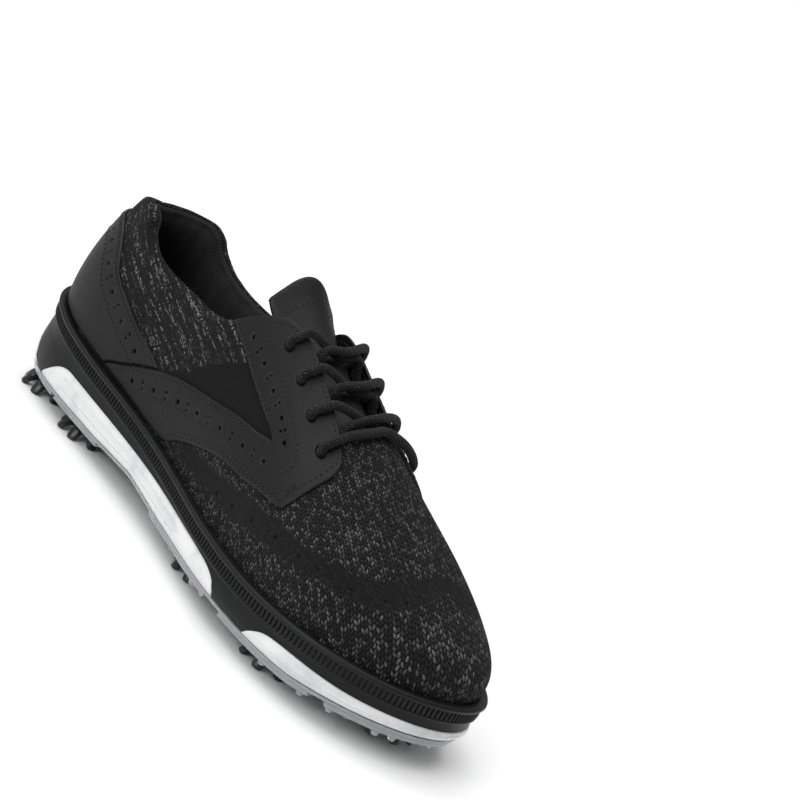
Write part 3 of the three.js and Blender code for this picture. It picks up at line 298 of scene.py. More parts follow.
class Net:
    """Short names for adding and joining shader nodes."""

    def __init__(self, tree):
        self.tree = tree

    def add(self, kind, **settings):
        node = self.tree.nodes.new("ShaderNode" + kind)
        for key, value in settings.items():
            setattr(node, key, value)
        return node

    def join(self, value, socket):
        if isinstance(value, bpy.types.NodeSocket):
            self.tree.links.new(value, socket)
        elif value is not None:
            socket.default_value = value

    def math(self, operation, a, b=None):
        node = self.add("Math", operation=operation)
        for socket, value in zip(node.inputs, (a, b)):
            self.join(value, socket)
        return node.outputs[0]

    def mix(self, share, a, b):
        node = self.add("Mix", data_type="RGBA")
        self.join(share, node.inputs[0])
        self.join(a, node.inputs[6])
        self.join(b, node.inputs[7])
        return node.outputs[2]

    def step(self, value, low, high, to_low=0.0, to_high=1.0):
        node = self.add("MapRange", interpolation_type="SMOOTHSTEP")
        for socket, v in zip(node.inputs, (value, low, high, to_low, to_high)):
            self.join(v, socket)
        return node.outputs[0]

    def noise(self, place, scale, detail=3.0, rough=0.55):
        node = self.add("TexNoise")
        self.join(place, node.inputs["Vector"])
        node.inputs["Scale"].default_value = scale
        node.inputs["Detail"].default_value = detail
        node.inputs["Roughness"].default_value = rough
        return node.outputs["Fac"]

    def cells(self, place, scale, feature="F1"):
        node = self.add("TexVoronoi", feature=feature)
        self.join(place, node.inputs["Vector"])
        node.inputs["Scale"].default_value = scale
        return node.outputs["Distance"]

    def bump(self, height, strength, distance):
        node = self.add("Bump")
        self.join(height, node.inputs["Height"])
        node.inputs["Strength"].default_value = strength
        node.inputs["Distance"].default_value = distance
        return node.outputs["Normal"]

    def split(self, vector):
        node = self.add("SeparateXYZ")
        self.join(vector, node.inputs[0])
        return node.outputs[0], node.outputs[1]

    def pack(self, x, y, z=0.0):
        node = self.add("CombineXYZ")
        for socket, value in zip(node.inputs, (x, y, z)):
            self.join(value, socket)
        return node.outputs[0]

    def mask(self, name):
        return self.add("Attribute", attribute_name=name, attribute_type="GEOMETRY").outputs["Fac"]


def new_group(name, inputs, outputs):
    tree = bpy.data.node_groups.new(name, "ShaderNodeTree")
    for label, kind, value in inputs:
        socket = tree.interface.new_socket(name=label, in_out="INPUT", socket_type="NodeSocket" + kind)
        if value is not None:
            socket.default_value = value
    for label, kind in outputs:
        tree.interface.new_socket(name=label, in_out="OUTPUT", socket_type="NodeSocket" + kind)
    net = Net(tree)
    return net, tree.nodes.new("NodeGroupInput").outputs, tree.nodes.new("NodeGroupOutput").inputs


def place_group(net, tree, **values):
    node = net.add("Group", node_tree=tree)
    for key, value in values.items():
        net.join(value, node.inputs[key.replace("_", " ")])
    return node.outputs


def finish_of(name, roughness=0.5, **sockets):
    """New material; returns it with its net and its Principled node."""
    material = bpy.data.materials.new(name)
    material.use_nodes = True
    net = Net(material.node_tree)
    shader = material.node_tree.nodes["Principled BSDF"]
    shader.inputs["Roughness"].default_value = roughness
    for key, value in sockets.items():
        shader.inputs[key.replace("_", " ")].default_value = value
    return material, net, shader


print("helpers ready")

# %% [markdown]
# Three groups carry the patterns. "grain" gives the pebbled skin of coated leather. "stitch knit" gives the
# rows of V-shaped loops of a chunky knit, with a fleck value for each loop and a shade value that the finishes
# use for painted shade between the loops. "mesh weave" gives a fine net whose openings the finishes darken as
# painted shade. Each one works in millimetres, so its inputs can be read off a ruler.
# %% shared patterns
net, take, give = new_group("grain", [("Place", "Vector", None), ("Size mm", "Float", 0.8)],
                            [("Height", "Float"), ("Cloud", "Float")])
scaled = net.add("VectorMath", operation="SCALE")
net.join(take["Place"], scaled.inputs[0])
net.join(net.math("DIVIDE", 1000.0, take["Size mm"]), scaled.inputs["Scale"])
pebble = net.cells(scaled.outputs[0], 1.0, "SMOOTH_F1")
fine = net.noise(scaled.outputs[0], 2.3, 2.0)
net.join(net.math("ADD", net.math("MULTIPLY", pebble, 0.7), net.math("MULTIPLY", fine, 0.5)), give["Height"])
net.join(net.noise(take["Place"], 38.0, 3.0), give["Cloud"])
GRAIN = net.tree

net, take, give = new_group("stitch knit", [("Place", "Vector", None), ("Loop wide", "Float", 2.3),
                                            ("Loop tall", "Float", 1.8), ("Slant", "Float", 0.9)],
                            [("Height", "Float"), ("Fleck", "Float"), ("Shade", "Float")])
u, v = net.split(take["Place"])
warp = net.noise(take["Place"], 0.12, 2.0)
u = net.math("ADD", u, net.math("MULTIPLY", warp, 1.6))
v = net.math("ADD", v, net.math("MULTIPLY", net.noise(net.pack(v, u, 4.0), 0.1, 1.0), 1.6))
column = net.math("DIVIDE", v, take["Loop wide"])
across = net.math("SUBTRACT", net.math("FRACT", column), 0.5)
reach = net.math("ABSOLUTE", across)
odd = net.math("MODULO", net.math("FLOOR", column), 2.0)
row = net.math("ADD", net.math("DIVIDE", u, take["Loop tall"]), net.math("MULTIPLY", odd, 0.5))
row = net.math("ADD", row, net.math("MULTIPLY", reach, take["Slant"]))
along = net.math("FRACT", row)
leg = net.math("SINE", net.math("MULTIPLY", reach, 2 * math.pi))
loop = net.math("SINE", net.math("MULTIPLY", along, math.pi))
round_leg = net.math("POWER", net.math("MAXIMUM", leg, 0.0), 0.6)
round_loop = net.math("POWER", net.math("MAXIMUM", loop, 0.0), 0.7)
height = net.math("MULTIPLY", round_leg, round_loop)
fibre = net.noise(net.pack(net.math("MULTIPLY", row, 1.0), net.math("MULTIPLY", column, 6.0)), 1.6, 2.0)
net.join(net.math("ADD", net.math("MULTIPLY", height, 0.88), net.math("MULTIPLY", fibre, 0.12)), give["Height"])
white = net.add("TexWhiteNoise", noise_dimensions="2D")
side_of = net.math("GREATER_THAN", across, 0.0)
net.join(net.pack(net.math("FLOOR", row),
                  net.math("ADD", net.math("MULTIPLY", net.math("FLOOR", column), 2.0), side_of)),
         white.inputs["Vector"])
net.join(net.math("MULTIPLY", white.outputs["Value"], net.step(fibre, 0.3, 0.65, 0.35, 1.0)), give["Fleck"])
net.join(height, give["Shade"])
KNIT_LOOPS = net.tree

net, take, give = new_group("mesh weave", [("Place", "Vector", None), ("Pitch", "Float", 1.1)],
                            [("Height", "Float"), ("Opening", "Float")])
u, v = net.split(take["Place"])
u = net.math("DIVIDE", u, take["Pitch"])
v = net.math("DIVIDE", v, take["Pitch"])
shifted = net.math("ADD", u, net.math("MULTIPLY", net.math("MODULO", net.math("FLOOR", v), 2.0), 0.5))
du = net.math("SUBTRACT", net.math("FRACT", shifted), 0.5)
dv = net.math("SUBTRACT", net.math("FRACT", v), 0.5)
far = net.math("SQRT", net.math("ADD", net.math("MULTIPLY", du, du), net.math("MULTIPLY", dv, dv)))
open_hole = net.step(far, 0.16, 0.36, 1.0, 0.0)
net.join(net.math("SUBTRACT", 1.0, open_hole), give["Height"])
net.join(open_hole, give["Opening"])
MESH_WEAVE = net.tree

net, take, give = new_group("worn edge", [("Colour", "Color", (0.03, 0.03, 0.03, 1.0)), ("Edge", "Float", 0.0),
                                          ("Cloud", "Float", 0.5)], [("Colour", "Color")])
amount = net.math("MULTIPLY", take["Edge"], net.step(take["Cloud"], 0.35, 0.65))
bright = net.add("Mix", data_type="RGBA", blend_type="ADD")
net.join(net.math("MULTIPLY", amount, 0.6), bright.inputs[0])
net.join(take["Colour"], bright.inputs[6])
bright.inputs[7].default_value = (0.03, 0.03, 0.031, 1.0)
net.join(bright.outputs[2], give["Colour"])
WORN_EDGE = net.tree
print("groups", [g.name for g in bpy.data.node_groups])

# %% [markdown]
# The upper wears four cloths and one coated leather. The front is a chunky knit of black and grey loops. The
# back is a finer knit with light streaks along its rows, plain black below. A flat band with small eyelets
# sweeps over the front. The lining is a dark net. Masks painted on the mesh say where each of these shows.
# %% materials of the upper


def uv_place(net):
    return net.add("UVMap", uv_map="cloth").outputs["UV"]


def object_place(net):
    return net.add("TexCoord").outputs["Object"]


VAMP_KNIT, net, shader = finish_of("vamp chunky knit", 0.88, Sheen_Weight=0.03, Sheen_Roughness=0.6,
                                   Specular_IOR_Level=0.07)
place = uv_place(net)
chunky = place_group(net, KNIT_LOOPS, Place=place, Loop_wide=2.5, Loop_tall=2.0, Slant=0.95)
flat = place_group(net, KNIT_LOOPS, Place=place, Loop_wide=1.15, Loop_tall=0.95, Slant=0.5)
band = net.mask("band")
dots = net.mask("dots")
patchy = net.noise(place, 0.055, 3.0, 0.6)
lit = net.step(net.math("ADD", chunky["Fleck"], net.math("MULTIPLY", net.math("SUBTRACT", patchy, 0.5), 0.5)),
               0.3, 1.0)
yarn = net.mix(lit, (0.012, 0.012, 0.013, 1), (0.14, 0.14, 0.146, 1))
# Painted shade: the loops darken to near black where the Shade value is low, in the hollows between them.
yarn = net.mix(net.step(chunky["Shade"], 0.15, 0.75, 0.0, 1.0), (0.0015, 0.0015, 0.0018, 1), yarn)
plain = net.mix(net.step(flat["Fleck"], 0.5, 1.0), (0.008, 0.008, 0.009, 1), (0.035, 0.035, 0.037, 1))
# Painted shade again, in the hollows between the band's finer loops.
plain = net.mix(net.step(flat["Shade"], 0.05, 0.6), (0.002, 0.002, 0.002, 1), plain)
colour = net.mix(band, yarn, plain)
# Painted shade: near-black spots stand in for the shade inside the band's small eyelets, which are only dipped in
# the bump.
colour = net.mix(dots, colour, (0.0008, 0.0008, 0.0008, 1))
net.join(colour, shader.inputs["Base Color"])
rough_mix = net.math("ADD", 0.8, net.math("MULTIPLY", chunky["Fleck"], 0.15))
net.join(rough_mix, shader.inputs["Roughness"])
relief = net.math("ADD", net.math("MULTIPLY", chunky["Height"], net.math("SUBTRACT", 1.0, band)),
                  net.math("MULTIPLY", net.math("MULTIPLY", flat["Height"], 0.35), band))
relief = net.math("SUBTRACT", relief, dots)
net.join(net.bump(relief, 1.0, 0.0011), shader.inputs["Normal"])

QUARTER_KNIT, net, shader = finish_of("quarter streaked knit", 0.88, Sheen_Weight=0.03, Sheen_Roughness=0.6,
                                      Specular_IOR_Level=0.07)
place = uv_place(net)
turned = net.add("VectorRotate", rotation_type="Z_AXIS")
net.join(place, turned.inputs["Vector"])
turned.inputs["Angle"].default_value = math.radians(17.0)
fine_knit = place_group(net, KNIT_LOOPS, Place=turned.outputs[0], Loop_wide=1.25, Loop_tall=1.05, Slant=0.6)
u, v = net.split(turned.outputs[0])
streak = net.noise(net.pack(net.math("MULTIPLY", u, 0.035), net.math("MULTIPLY", v, 0.42)), 1.0, 4.0, 0.62)
strand = net.noise(net.pack(net.math("MULTIPLY", u, 0.16), net.math("MULTIPLY", v, 0.85)), 1.0, 2.0)
lit = net.math("MULTIPLY", net.step(net.math("ADD", net.math("MULTIPLY", streak, 0.65),
                                             net.math("MULTIPLY", strand, 0.35)), 0.49, 0.63),
               net.step(fine_knit["Fleck"], 0.2, 0.75))
net_part = net.mask("net")
lit = net.math("MULTIPLY", lit, net.math("SUBTRACT", 1.0, net_part))
base = net.mix(net.step(fine_knit["Fleck"], 0.3, 1.0), (0.007, 0.007, 0.008, 1), (0.022, 0.022, 0.024, 1))
yarn = net.mix(lit, base, (0.33, 0.33, 0.34, 1))
# Painted shade: the fine loops darken to near black in the hollows between them, where the Shade value is low.
yarn = net.mix(net.step(fine_knit["Shade"], 0.08, 0.6), (0.0018, 0.0018, 0.002, 1), yarn)
netting = place_group(net, MESH_WEAVE, Place=turned.outputs[0], Pitch=1.35)
# Painted shade: the net's openings are darker than its threads, in place of the shade inside real holes.
black_net = net.mix(netting["Opening"], (0.0062, 0.0062, 0.0068, 1), (0.0012, 0.0012, 0.0014, 1))
net.join(net.mix(net_part, yarn, black_net), shader.inputs["Base Color"])
relief = net.math("ADD", net.math("MULTIPLY", fine_knit["Height"], net.math("SUBTRACT", 1.0, net_part)),
                  net.math("MULTIPLY", netting["Height"], net.math("MULTIPLY", net_part, 0.7)))
net.join(net.bump(relief, 0.9, 0.00055), shader.inputs["Normal"])

LINING_MESH, net, shader = finish_of("lining mesh", 0.9, Sheen_Weight=0.04, Sheen_Roughness=0.5,
                                     Specular_IOR_Level=0.1)
place = uv_place(net)
netting = place_group(net, MESH_WEAVE, Place=place, Pitch=1.5)
cloud = net.noise(place, 0.08, 3.0)
thread = net.mix(cloud, (0.012, 0.012, 0.013, 1), (0.022, 0.022, 0.024, 1))
# Painted shade: the openings of the net are near black, in place of the shade inside real holes.
net.join(net.mix(netting["Opening"], thread, (0.003, 0.003, 0.0035, 1)), shader.inputs["Base Color"])
net.join(net.bump(netting["Height"], 0.8, 0.0005), shader.inputs["Normal"])

LEATHER, net, shader = finish_of("coated leather", 0.5, Specular_IOR_Level=0.17)
place = object_place(net)
skin = place_group(net, GRAIN, Place=place, Size_mm=0.75)
tone = net.mix(skin["Cloud"], (0.0066, 0.0066, 0.0072, 1), (0.0102, 0.0102, 0.011, 1))
net.join(place_group(net, WORN_EDGE, Colour=tone, Edge=net.mask("rim"), Cloud=skin["Cloud"])["Colour"],
         shader.inputs["Base Color"])
net.join(net.step(skin["Height"], 0.2, 0.9, 0.44, 0.6), shader.inputs["Roughness"])
net.join(net.bump(skin["Height"], 0.6, 0.00022), shader.inputs["Normal"])

THREAD, net, shader = finish_of("sewing thread", 0.6, Sheen_Weight=0.05, Specular_IOR_Level=0.15)
place = object_place(net)
twist = net.noise(place, 900.0, 2.0)
net.join(net.mix(twist, (0.002, 0.002, 0.0022, 1), (0.02, 0.02, 0.021, 1)), shader.inputs["Base Color"])
net.join(net.bump(twist, 0.5, 0.0001), shader.inputs["Normal"])

LACE_BRAID, net, shader = finish_of("lace braid", 0.75, Sheen_Weight=0.04, Sheen_Roughness=0.5,
                                    Specular_IOR_Level=0.12)
place = uv_place(net)
u, v = net.split(place)
weave = []
for hand in (1.0, -1.0):
    slant = net.math("ADD", net.math("MULTIPLY", u, 0.62), net.math("MULTIPLY", v, 0.6366 * hand))
    weave.append(net.math("SINE", net.math("MULTIPLY", slant, 2 * math.pi)))
plait = net.math("MAXIMUM", weave[0], weave[1])
fleck = net.noise(net.pack(net.math("MULTIPLY", u, 1.4), net.math("MULTIPLY", v, 2.2)), 1.0, 3.0)
tone = net.mix(net.step(fleck, 0.5, 0.68), (0.011, 0.011, 0.0115, 1), (0.075, 0.075, 0.077, 1))
# Painted shade: the braid goes near black in the grooves between its strands, where the plait is low.
net.join(net.mix(net.step(plait, 0.0, 0.9), (0.004, 0.004, 0.0042, 1), tone), shader.inputs["Base Color"])
net.join(net.bump(plait, 0.7, 0.0003), shader.inputs["Normal"])

BOARD, net, shader = finish_of("fibre board", 0.9)
place = object_place(net)
pulp = net.noise(place, 320.0, 4.0, 0.7)
net.join(net.mix(pulp, (0.2, 0.2, 0.19, 1), (0.33, 0.33, 0.31, 1)), shader.inputs["Base Color"])
net.join(net.bump(pulp, 0.4, 0.0003), shader.inputs["Normal"])
print("upper materials", [m.name for m in bpy.data.materials])

# %% [markdown]
# The sole wears satin black foam, a bright white coat, clear moulded plastic and glossy black cleats. The
# clear parts pass light and carry small swirls, the white coat has faint smudges, and the dark plastic shows
# fine moulding texture and light scuffs. None of them is a single flat colour.
# %% materials of the sole
FOAM, net, shader = finish_of("midsole foam", 0.5, Specular_IOR_Level=0.18)
place = object_place(net)
skin = place_group(net, GRAIN, Place=place, Size_mm=0.5)
tone = net.mix(skin["Cloud"], (0.0058, 0.006, 0.0066, 1), (0.0098, 0.0101, 0.011, 1))
net.join(tone, shader.inputs["Base Color"])
net.join(net.step(skin["Cloud"], 0.3, 0.7, 0.4, 0.56), shader.inputs["Roughness"])
net.join(net.bump(skin["Height"], 0.25, 0.00012), shader.inputs["Normal"])

WHITE_COAT, net, shader = finish_of("white coat", 0.3, Coat_Roughness=0.12)
place = object_place(net)
smudge = net.noise(place, 55.0, 5.0, 0.65)
fine = net.noise(place, 700.0, 2.0)
net.join(net.mix(net.step(smudge, 0.45, 0.75), (0.69, 0.69, 0.695, 1), (0.53, 0.535, 0.545, 1)),
         shader.inputs["Base Color"])
net.join(net.step(smudge, 0.3, 0.7, 0.2, 0.36), shader.inputs["Roughness"])
net.join(net.step(smudge, 0.3, 0.7, 0.5, 0.2), shader.inputs["Coat Weight"])
net.join(net.bump(fine, 0.15, 0.00008), shader.inputs["Normal"])

CLEAR, net, shader = finish_of("clear moulding", 0.08, Transmission_Weight=0.7, IOR=1.46)
place = object_place(net)
swirl = net.noise(place, 90.0, 4.0, 0.6)
net.join(net.mix(swirl, (0.93, 0.94, 0.95, 1), (0.83, 0.85, 0.87, 1)), shader.inputs["Base Color"])
net.join(net.step(swirl, 0.35, 0.75, 0.05, 0.2), shader.inputs["Roughness"])
net.join(net.bump(swirl, 0.3, 0.0004), shader.inputs["Normal"])

WEB_RUBBER, net, shader = finish_of("web rubber", 0.45)
place = object_place(net)
skin = place_group(net, GRAIN, Place=place, Size_mm=0.4)
net.join(net.mix(skin["Cloud"], (0.008, 0.008, 0.0085, 1), (0.016, 0.016, 0.017, 1)),
         shader.inputs["Base Color"])
net.join(net.bump(skin["Height"], 0.3, 0.0001), shader.inputs["Normal"])

MEDALLION, net, shader = finish_of("diamond medallion", 0.35, Specular_IOR_Level=0.5)
place = object_place(net)
x, y = net.split(place)
ridges = []
for turn in (1.0, -1.0):
    line = net.math("ADD", net.math("MULTIPLY", x, 150.0), net.math("MULTIPLY", y, 230.0 * turn))
    ridges.append(net.math("ABSOLUTE", net.math("SUBTRACT", net.math("FRACT", line), 0.5)))
diamond = net.math("MINIMUM", ridges[0], ridges[1])
lines = net.step(diamond, 0.03, 0.12)
cloud = net.noise(place, 60.0, 3.0)
faces = net.mix(cloud, (0.17, 0.175, 0.18, 1), (0.27, 0.275, 0.285, 1))
net.join(net.mix(lines, (0.035, 0.036, 0.038, 1), faces), shader.inputs["Base Color"])
net.join(net.bump(net.math("MULTIPLY", diamond, 2.0), 0.8, 0.0008), shader.inputs["Normal"])

CLEAT_PLASTIC, net, shader = finish_of("cleat plastic", 0.3, Specular_IOR_Level=0.5)
place = object_place(net)
scuff = net.noise(place, 260.0, 4.0, 0.7)
net.join(net.mix(net.step(scuff, 0.55, 0.8), (0.0075, 0.0075, 0.008, 1), (0.035, 0.035, 0.037, 1)),
         shader.inputs["Base Color"])
net.join(net.step(scuff, 0.3, 0.7, 0.22, 0.45), shader.inputs["Roughness"])
net.join(net.bump(scuff, 0.25, 0.00012), shader.inputs["Normal"])
print(len(bpy.data.materials), "materials")

# %% [markdown]
# Patterns are cut flat before they are laid on the last, as in a real workshop. The outline, its holes and a
# grid of inner points go into a constrained triangulation, which keeps every cut edge exact. Points near the
# cut edge sink a little, so that each panel has the soft rounded edge of cut leather. All units here are
# millimetres.
# %% cutting flat patterns
HEIGHT_UNIT = 150.0
shoe_pieces = {}


FLOW_STEPS = 6


def flow(points, corner=42.0):
    """Smooth closed outline through the points that keeps the corners sharper than the angle."""
    p = np.asarray(points, float)
    n = len(p)
    before = p - np.roll(p, 1, axis=0)
    after = np.roll(p, -1, axis=0) - p
    turn = np.degrees(np.abs(np.arctan2(before[:, 0] * after[:, 1] - before[:, 1] * after[:, 0],
                                        (before * after).sum(1))))
    sharp = np.flatnonzero(turn > corner)
    if len(sharp) == 0:
        return through(p, True, FLOW_STEPS)
    out = []
    for a, b in zip(sharp, np.roll(sharp, -1)):
        count = (b - a) % n or n
        run = p[[(a + k) % n for k in range(count + 1)]]
        out.append(through(run, False, FLOW_STEPS)[:-1] if len(run) > 2 else run[:-1])
    return np.vstack(out)


def spaced(loop, step):
    length = np.linalg.norm(np.roll(loop, -1, axis=0) - loop, axis=1).sum()
    return even(loop, max(8, int(length / step)), closed=True)


def to_segments(points, a, b):
    """Least distance from each point to the segments a-b."""
    best = np.full(len(points), 1e9)
    for lo in range(0, len(a), 64):
        p, d = a[None, lo:lo + 64], (b - a)[None, lo:lo + 64]
        f = ((points[:, None] - p) * d).sum(-1) / np.maximum((d * d).sum(-1), 1e-12)
        off = points[:, None] - p - np.clip(f, 0, 1)[..., None] * d
        best = np.minimum(best, np.sqrt((off * off).sum(-1)).min(1))
    return best


def turned(loop):
    """The same loop, counter-clockwise."""
    x, y = loop[:, 0], loop[:, 1]
    return loop if (x * np.roll(y, -1) - y * np.roll(x, -1)).sum() > 0 else loop[::-1]


def cut(keep, drop=(), grid=1.6, rim=0.5, extra=()):
    """Triangulates what lies in all of keep and in none of drop. Returns points, triangles, rim distance."""
    loops = [turned(np.asarray(k, float)) for k in list(keep) + list(drop)]
    for pass_rings in (False, True):
        points = [tuple(p) for loop in loops for p in loop]
        faces, start = [], 0
        for loop in loops:
            faces.append(list(range(start, start + len(loop))))
            start += len(loop)
        if pass_rings:
            low, high = loops[0].min(0), loops[0].max(0)
            gx, gy = np.meshgrid(np.arange(low[0], high[0], grid), np.arange(low[1], high[1], grid * 0.866))
            gx = gx + (np.arange(gx.shape[0]) % 2)[:, None] * grid / 2
            inner = np.stack([gx.ravel(), gy.ravel()], axis=1)
            inner = inner[to_segments(inner, seg_a, seg_b) > max(rim * 1.3, grid * 0.45)]
            rings = []
            middle, along = (seg_a + seg_b) / 2, seg_b - seg_a
            side = np.stack([-along[:, 1], along[:, 0]], axis=1) / np.linalg.norm(along, axis=1)[:, None]
            for r in (0.3 * rim, rim):
                at = middle + side * r
                rings.append(at[to_segments(at, seg_a, seg_b) > r * 0.9])
            points += [tuple(p) for p in np.vstack([inner] + rings)]
            points += [tuple(p) for p in extra]
        verts, _, tris, _, _, ids = geometry.delaunay_2d_cdt(
            [Vector(p) for p in points], [], faces, 0, 1e-5, True)
        wanted, banned = set(range(len(keep))), set(range(len(keep), len(loops)))
        tris = np.array([t for t, f in zip(tris, ids) if wanted <= set(f) and not banned & set(f)])
        pts = np.array([tuple(v) for v in verts])
        a, b, c = (pts[tris[:, k]] for k in range(3))
        area = (b[:, 0] - a[:, 0]) * (c[:, 1] - a[:, 1]) - (b[:, 1] - a[:, 1]) * (c[:, 0] - a[:, 0])
        tris = tris[np.abs(area) > 1e-7]
        area = area[np.abs(area) > 1e-7]
        tris[area < 0] = tris[area < 0][:, ::-1]
        open_edges = boundary(tris)
        seg_a, seg_b = pts[open_edges[:, 0]], pts[open_edges[:, 1]]
    used, index = np.unique(tris, return_inverse=True)
    pts = pts[used]
    return pts, index.reshape(-1, 3), to_segments(pts, seg_a, seg_b)


def boundary(tris):
    e = np.vstack([tris[:, [0, 1]], tris[:, [1, 2]], tris[:, [2, 0]]])
    key = np.sort(e, axis=1)
    _, first, count = np.unique(key, axis=0, return_index=True, return_counts=True)
    return e[first[count == 1]]


def slab(top, base, tris):
    """Closed body from two layers of one triangulation."""
    n = len(top)
    e = boundary(tris)
    a, b = e.T
    walls = np.vstack([np.stack([b, a, a + n], 1), np.stack([b, a + n, b + n], 1)])
    return np.vstack([top, base]), np.vstack([tris, tris[:, ::-1] + n, walls])


def rolled(dist, high, rim, drop):
    f = np.clip(dist / rim, 0, 1)
    return high - drop * (1 - np.sqrt(np.clip(1 - (1 - f) ** 2, 0, 1)))


def new_piece(name, verts, faces, material, cloth=None, masks=None, body="shoe", outward=None):
    mesh = bpy.data.meshes.new(name)
    faces = np.asarray(faces) if not isinstance(faces, list) else faces
    mesh.from_pydata(np.asarray(verts).tolist(), [], faces.tolist() if not isinstance(faces, list) else faces)
    if cloth is not None:
        layer = mesh.uv_layers.new(name="cloth")
        corner = np.zeros(len(mesh.loops), np.int32)
        mesh.loops.foreach_get("vertex_index", corner)
        layer.data.foreach_set("uv", np.asarray(cloth, np.float32)[corner].ravel())
    for label, values in (masks or {}).items():
        mesh.attributes.new(label, "FLOAT", "POINT").data.foreach_set("value", np.asarray(values, np.float32))
    materials = material if isinstance(material, (list, tuple)) else [material]
    for m in materials:
        mesh.materials.append(m)
    mesh.shade_smooth()
    mesh.set_sharp_from_angle(angle=math.radians(50))
    if outward is not None and signed_volume(mesh) < 0:
        mesh.flip_normals()
    mesh.update()
    piece = bpy.data.objects.new(name, mesh)
    bpy.context.scene.collection.objects.link(piece)
    shoe_pieces[name] = (piece, body)
    return piece


def signed_volume(mesh):
    mesh.calc_loop_triangles()
    co = np.zeros(len(mesh.vertices) * 3)
    mesh.vertices.foreach_get("co", co)
    tri = np.zeros(len(mesh.loop_triangles) * 3, np.int32)
    mesh.loop_triangles.foreach_get("vertices", tri)
    p = co.reshape(-1, 3)[tri.reshape(-1, 3)]
    return float(np.einsum("ij,ij->i", p[:, 0], np.cross(p[:, 1], p[:, 2])).sum())


def settle(piece, replaces=()):
    body = shoe_pieces[piece.name][1]
    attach(piece, body)
    if replaces:
        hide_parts(*replaces)
    return piece


def height_mm(s, t):
    """Distance up the side of the last from the welt to t."""
    f = np.linspace(0, 1, 25)
    p = last_point(np.asarray(s)[:, None], np.asarray(t)[:, None] * f)
    return np.linalg.norm(np.diff(p, axis=1), axis=2).sum(1)


def on_side(points, side, w):
    return on_last(side * points[:, 0], points[:, 1] / HEIGHT_UNIT, w)


def facing_out(tris, side):
    return tris[:, ::-1] if side < 0 else tris


def flat_units(points):
    return np.asarray(points, float) * (1.0, HEIGHT_UNIT)


print("cutting table ready")

# %% [markdown]
# The front of the upper is one knit piece that crosses over the toes, so both halves are cut from one
# pattern and welded along the crest. Its loops must stay the same size over the round toe. For this Blender
# unwraps the sheet, and the flat copy is scaled back to millimetres, as if the knit had been laid out on a
# table.
# %% vamp
KNIT = 1.5
JOINT_LINE = [(118, 0), (150, 0.14), (180, 0.25), (205, 0.33), (215, 0.42), (216, 0.62)]
VAMP_BACK = [(217.5, 0.8), (218.5, 0.92), (219, 1.0)]
LATERAL, MEDIAL = 1, -1
BAND_UPPER = smooth_table([(150, 0.10), (191, 0.175), (207, 0.225), (222, 0.27), (237, 0.315), (255, 0.355),
                           (269, 0.43), (281, 0.55), (288, 0.72), (291, 1.0)])
BAND_LOWER = smooth_table([(150, 0.02), (181, 0.07), (210, 0.11), (229, 0.165), (248, 0.205), (262, 0.255),
                           (278, 0.32), (292, 0.42), (303, 0.63), (307, 1.0)])


def unfold(points3, tris, target, fit):
    """Flat copy of a sheet in millimetres, turned so that it follows the shoe's length."""
    mesh = bpy.data.meshes.new("unfold")
    mesh.from_pydata(points3.tolist(), [], tris.tolist())
    mesh.uv_layers.new(name="flat")
    piece = bpy.data.objects.new("unfold", mesh)
    bpy.context.scene.collection.objects.link(piece)
    bpy.context.view_layer.objects.active = piece
    piece.select_set(True)
    bpy.ops.object.mode_set(mode="EDIT")
    bpy.ops.mesh.select_all(action="SELECT")
    bpy.ops.uv.unwrap(method="ANGLE_BASED", margin=0.0)
    bpy.ops.object.mode_set(mode="OBJECT")
    corner = np.zeros(len(mesh.loops), np.int32)
    mesh.loops.foreach_get("vertex_index", corner)
    uv = np.zeros(len(mesh.loops) * 2, np.float32)
    mesh.uv_layers["flat"].data.foreach_get("uv", uv)
    flat = np.zeros((len(points3), 2))
    flat[corner] = uv.reshape(-1, 2)
    bpy.data.objects.remove(piece)
    bpy.data.meshes.remove(mesh)
    a, b = flat[fit] - flat[fit].mean(0), target[fit] - target[fit].mean(0)
    za, zb = a[:, 0] + 1j * a[:, 1], b[:, 0] + 1j * b[:, 1]
    turn, mirrored = (zb * za.conj()).sum() / (abs(za) ** 2).sum(), (zb * za).sum() / (abs(za) ** 2).sum()
    z = flat[:, 0] + 1j * flat[:, 1]
    z = mirrored * z.conj() if abs(mirrored) > abs(turn) else turn * z
    return np.stack([z.real, z.imag], axis=1)


BAND_DOTS = [(197, 0.125), (210, 0.155), (224, 0.2), (239, 0.25), (253, 0.285), (263, 0.32), (279, 0.385),
             (292, 0.505), (298, 0.62), (299, 0.74)]


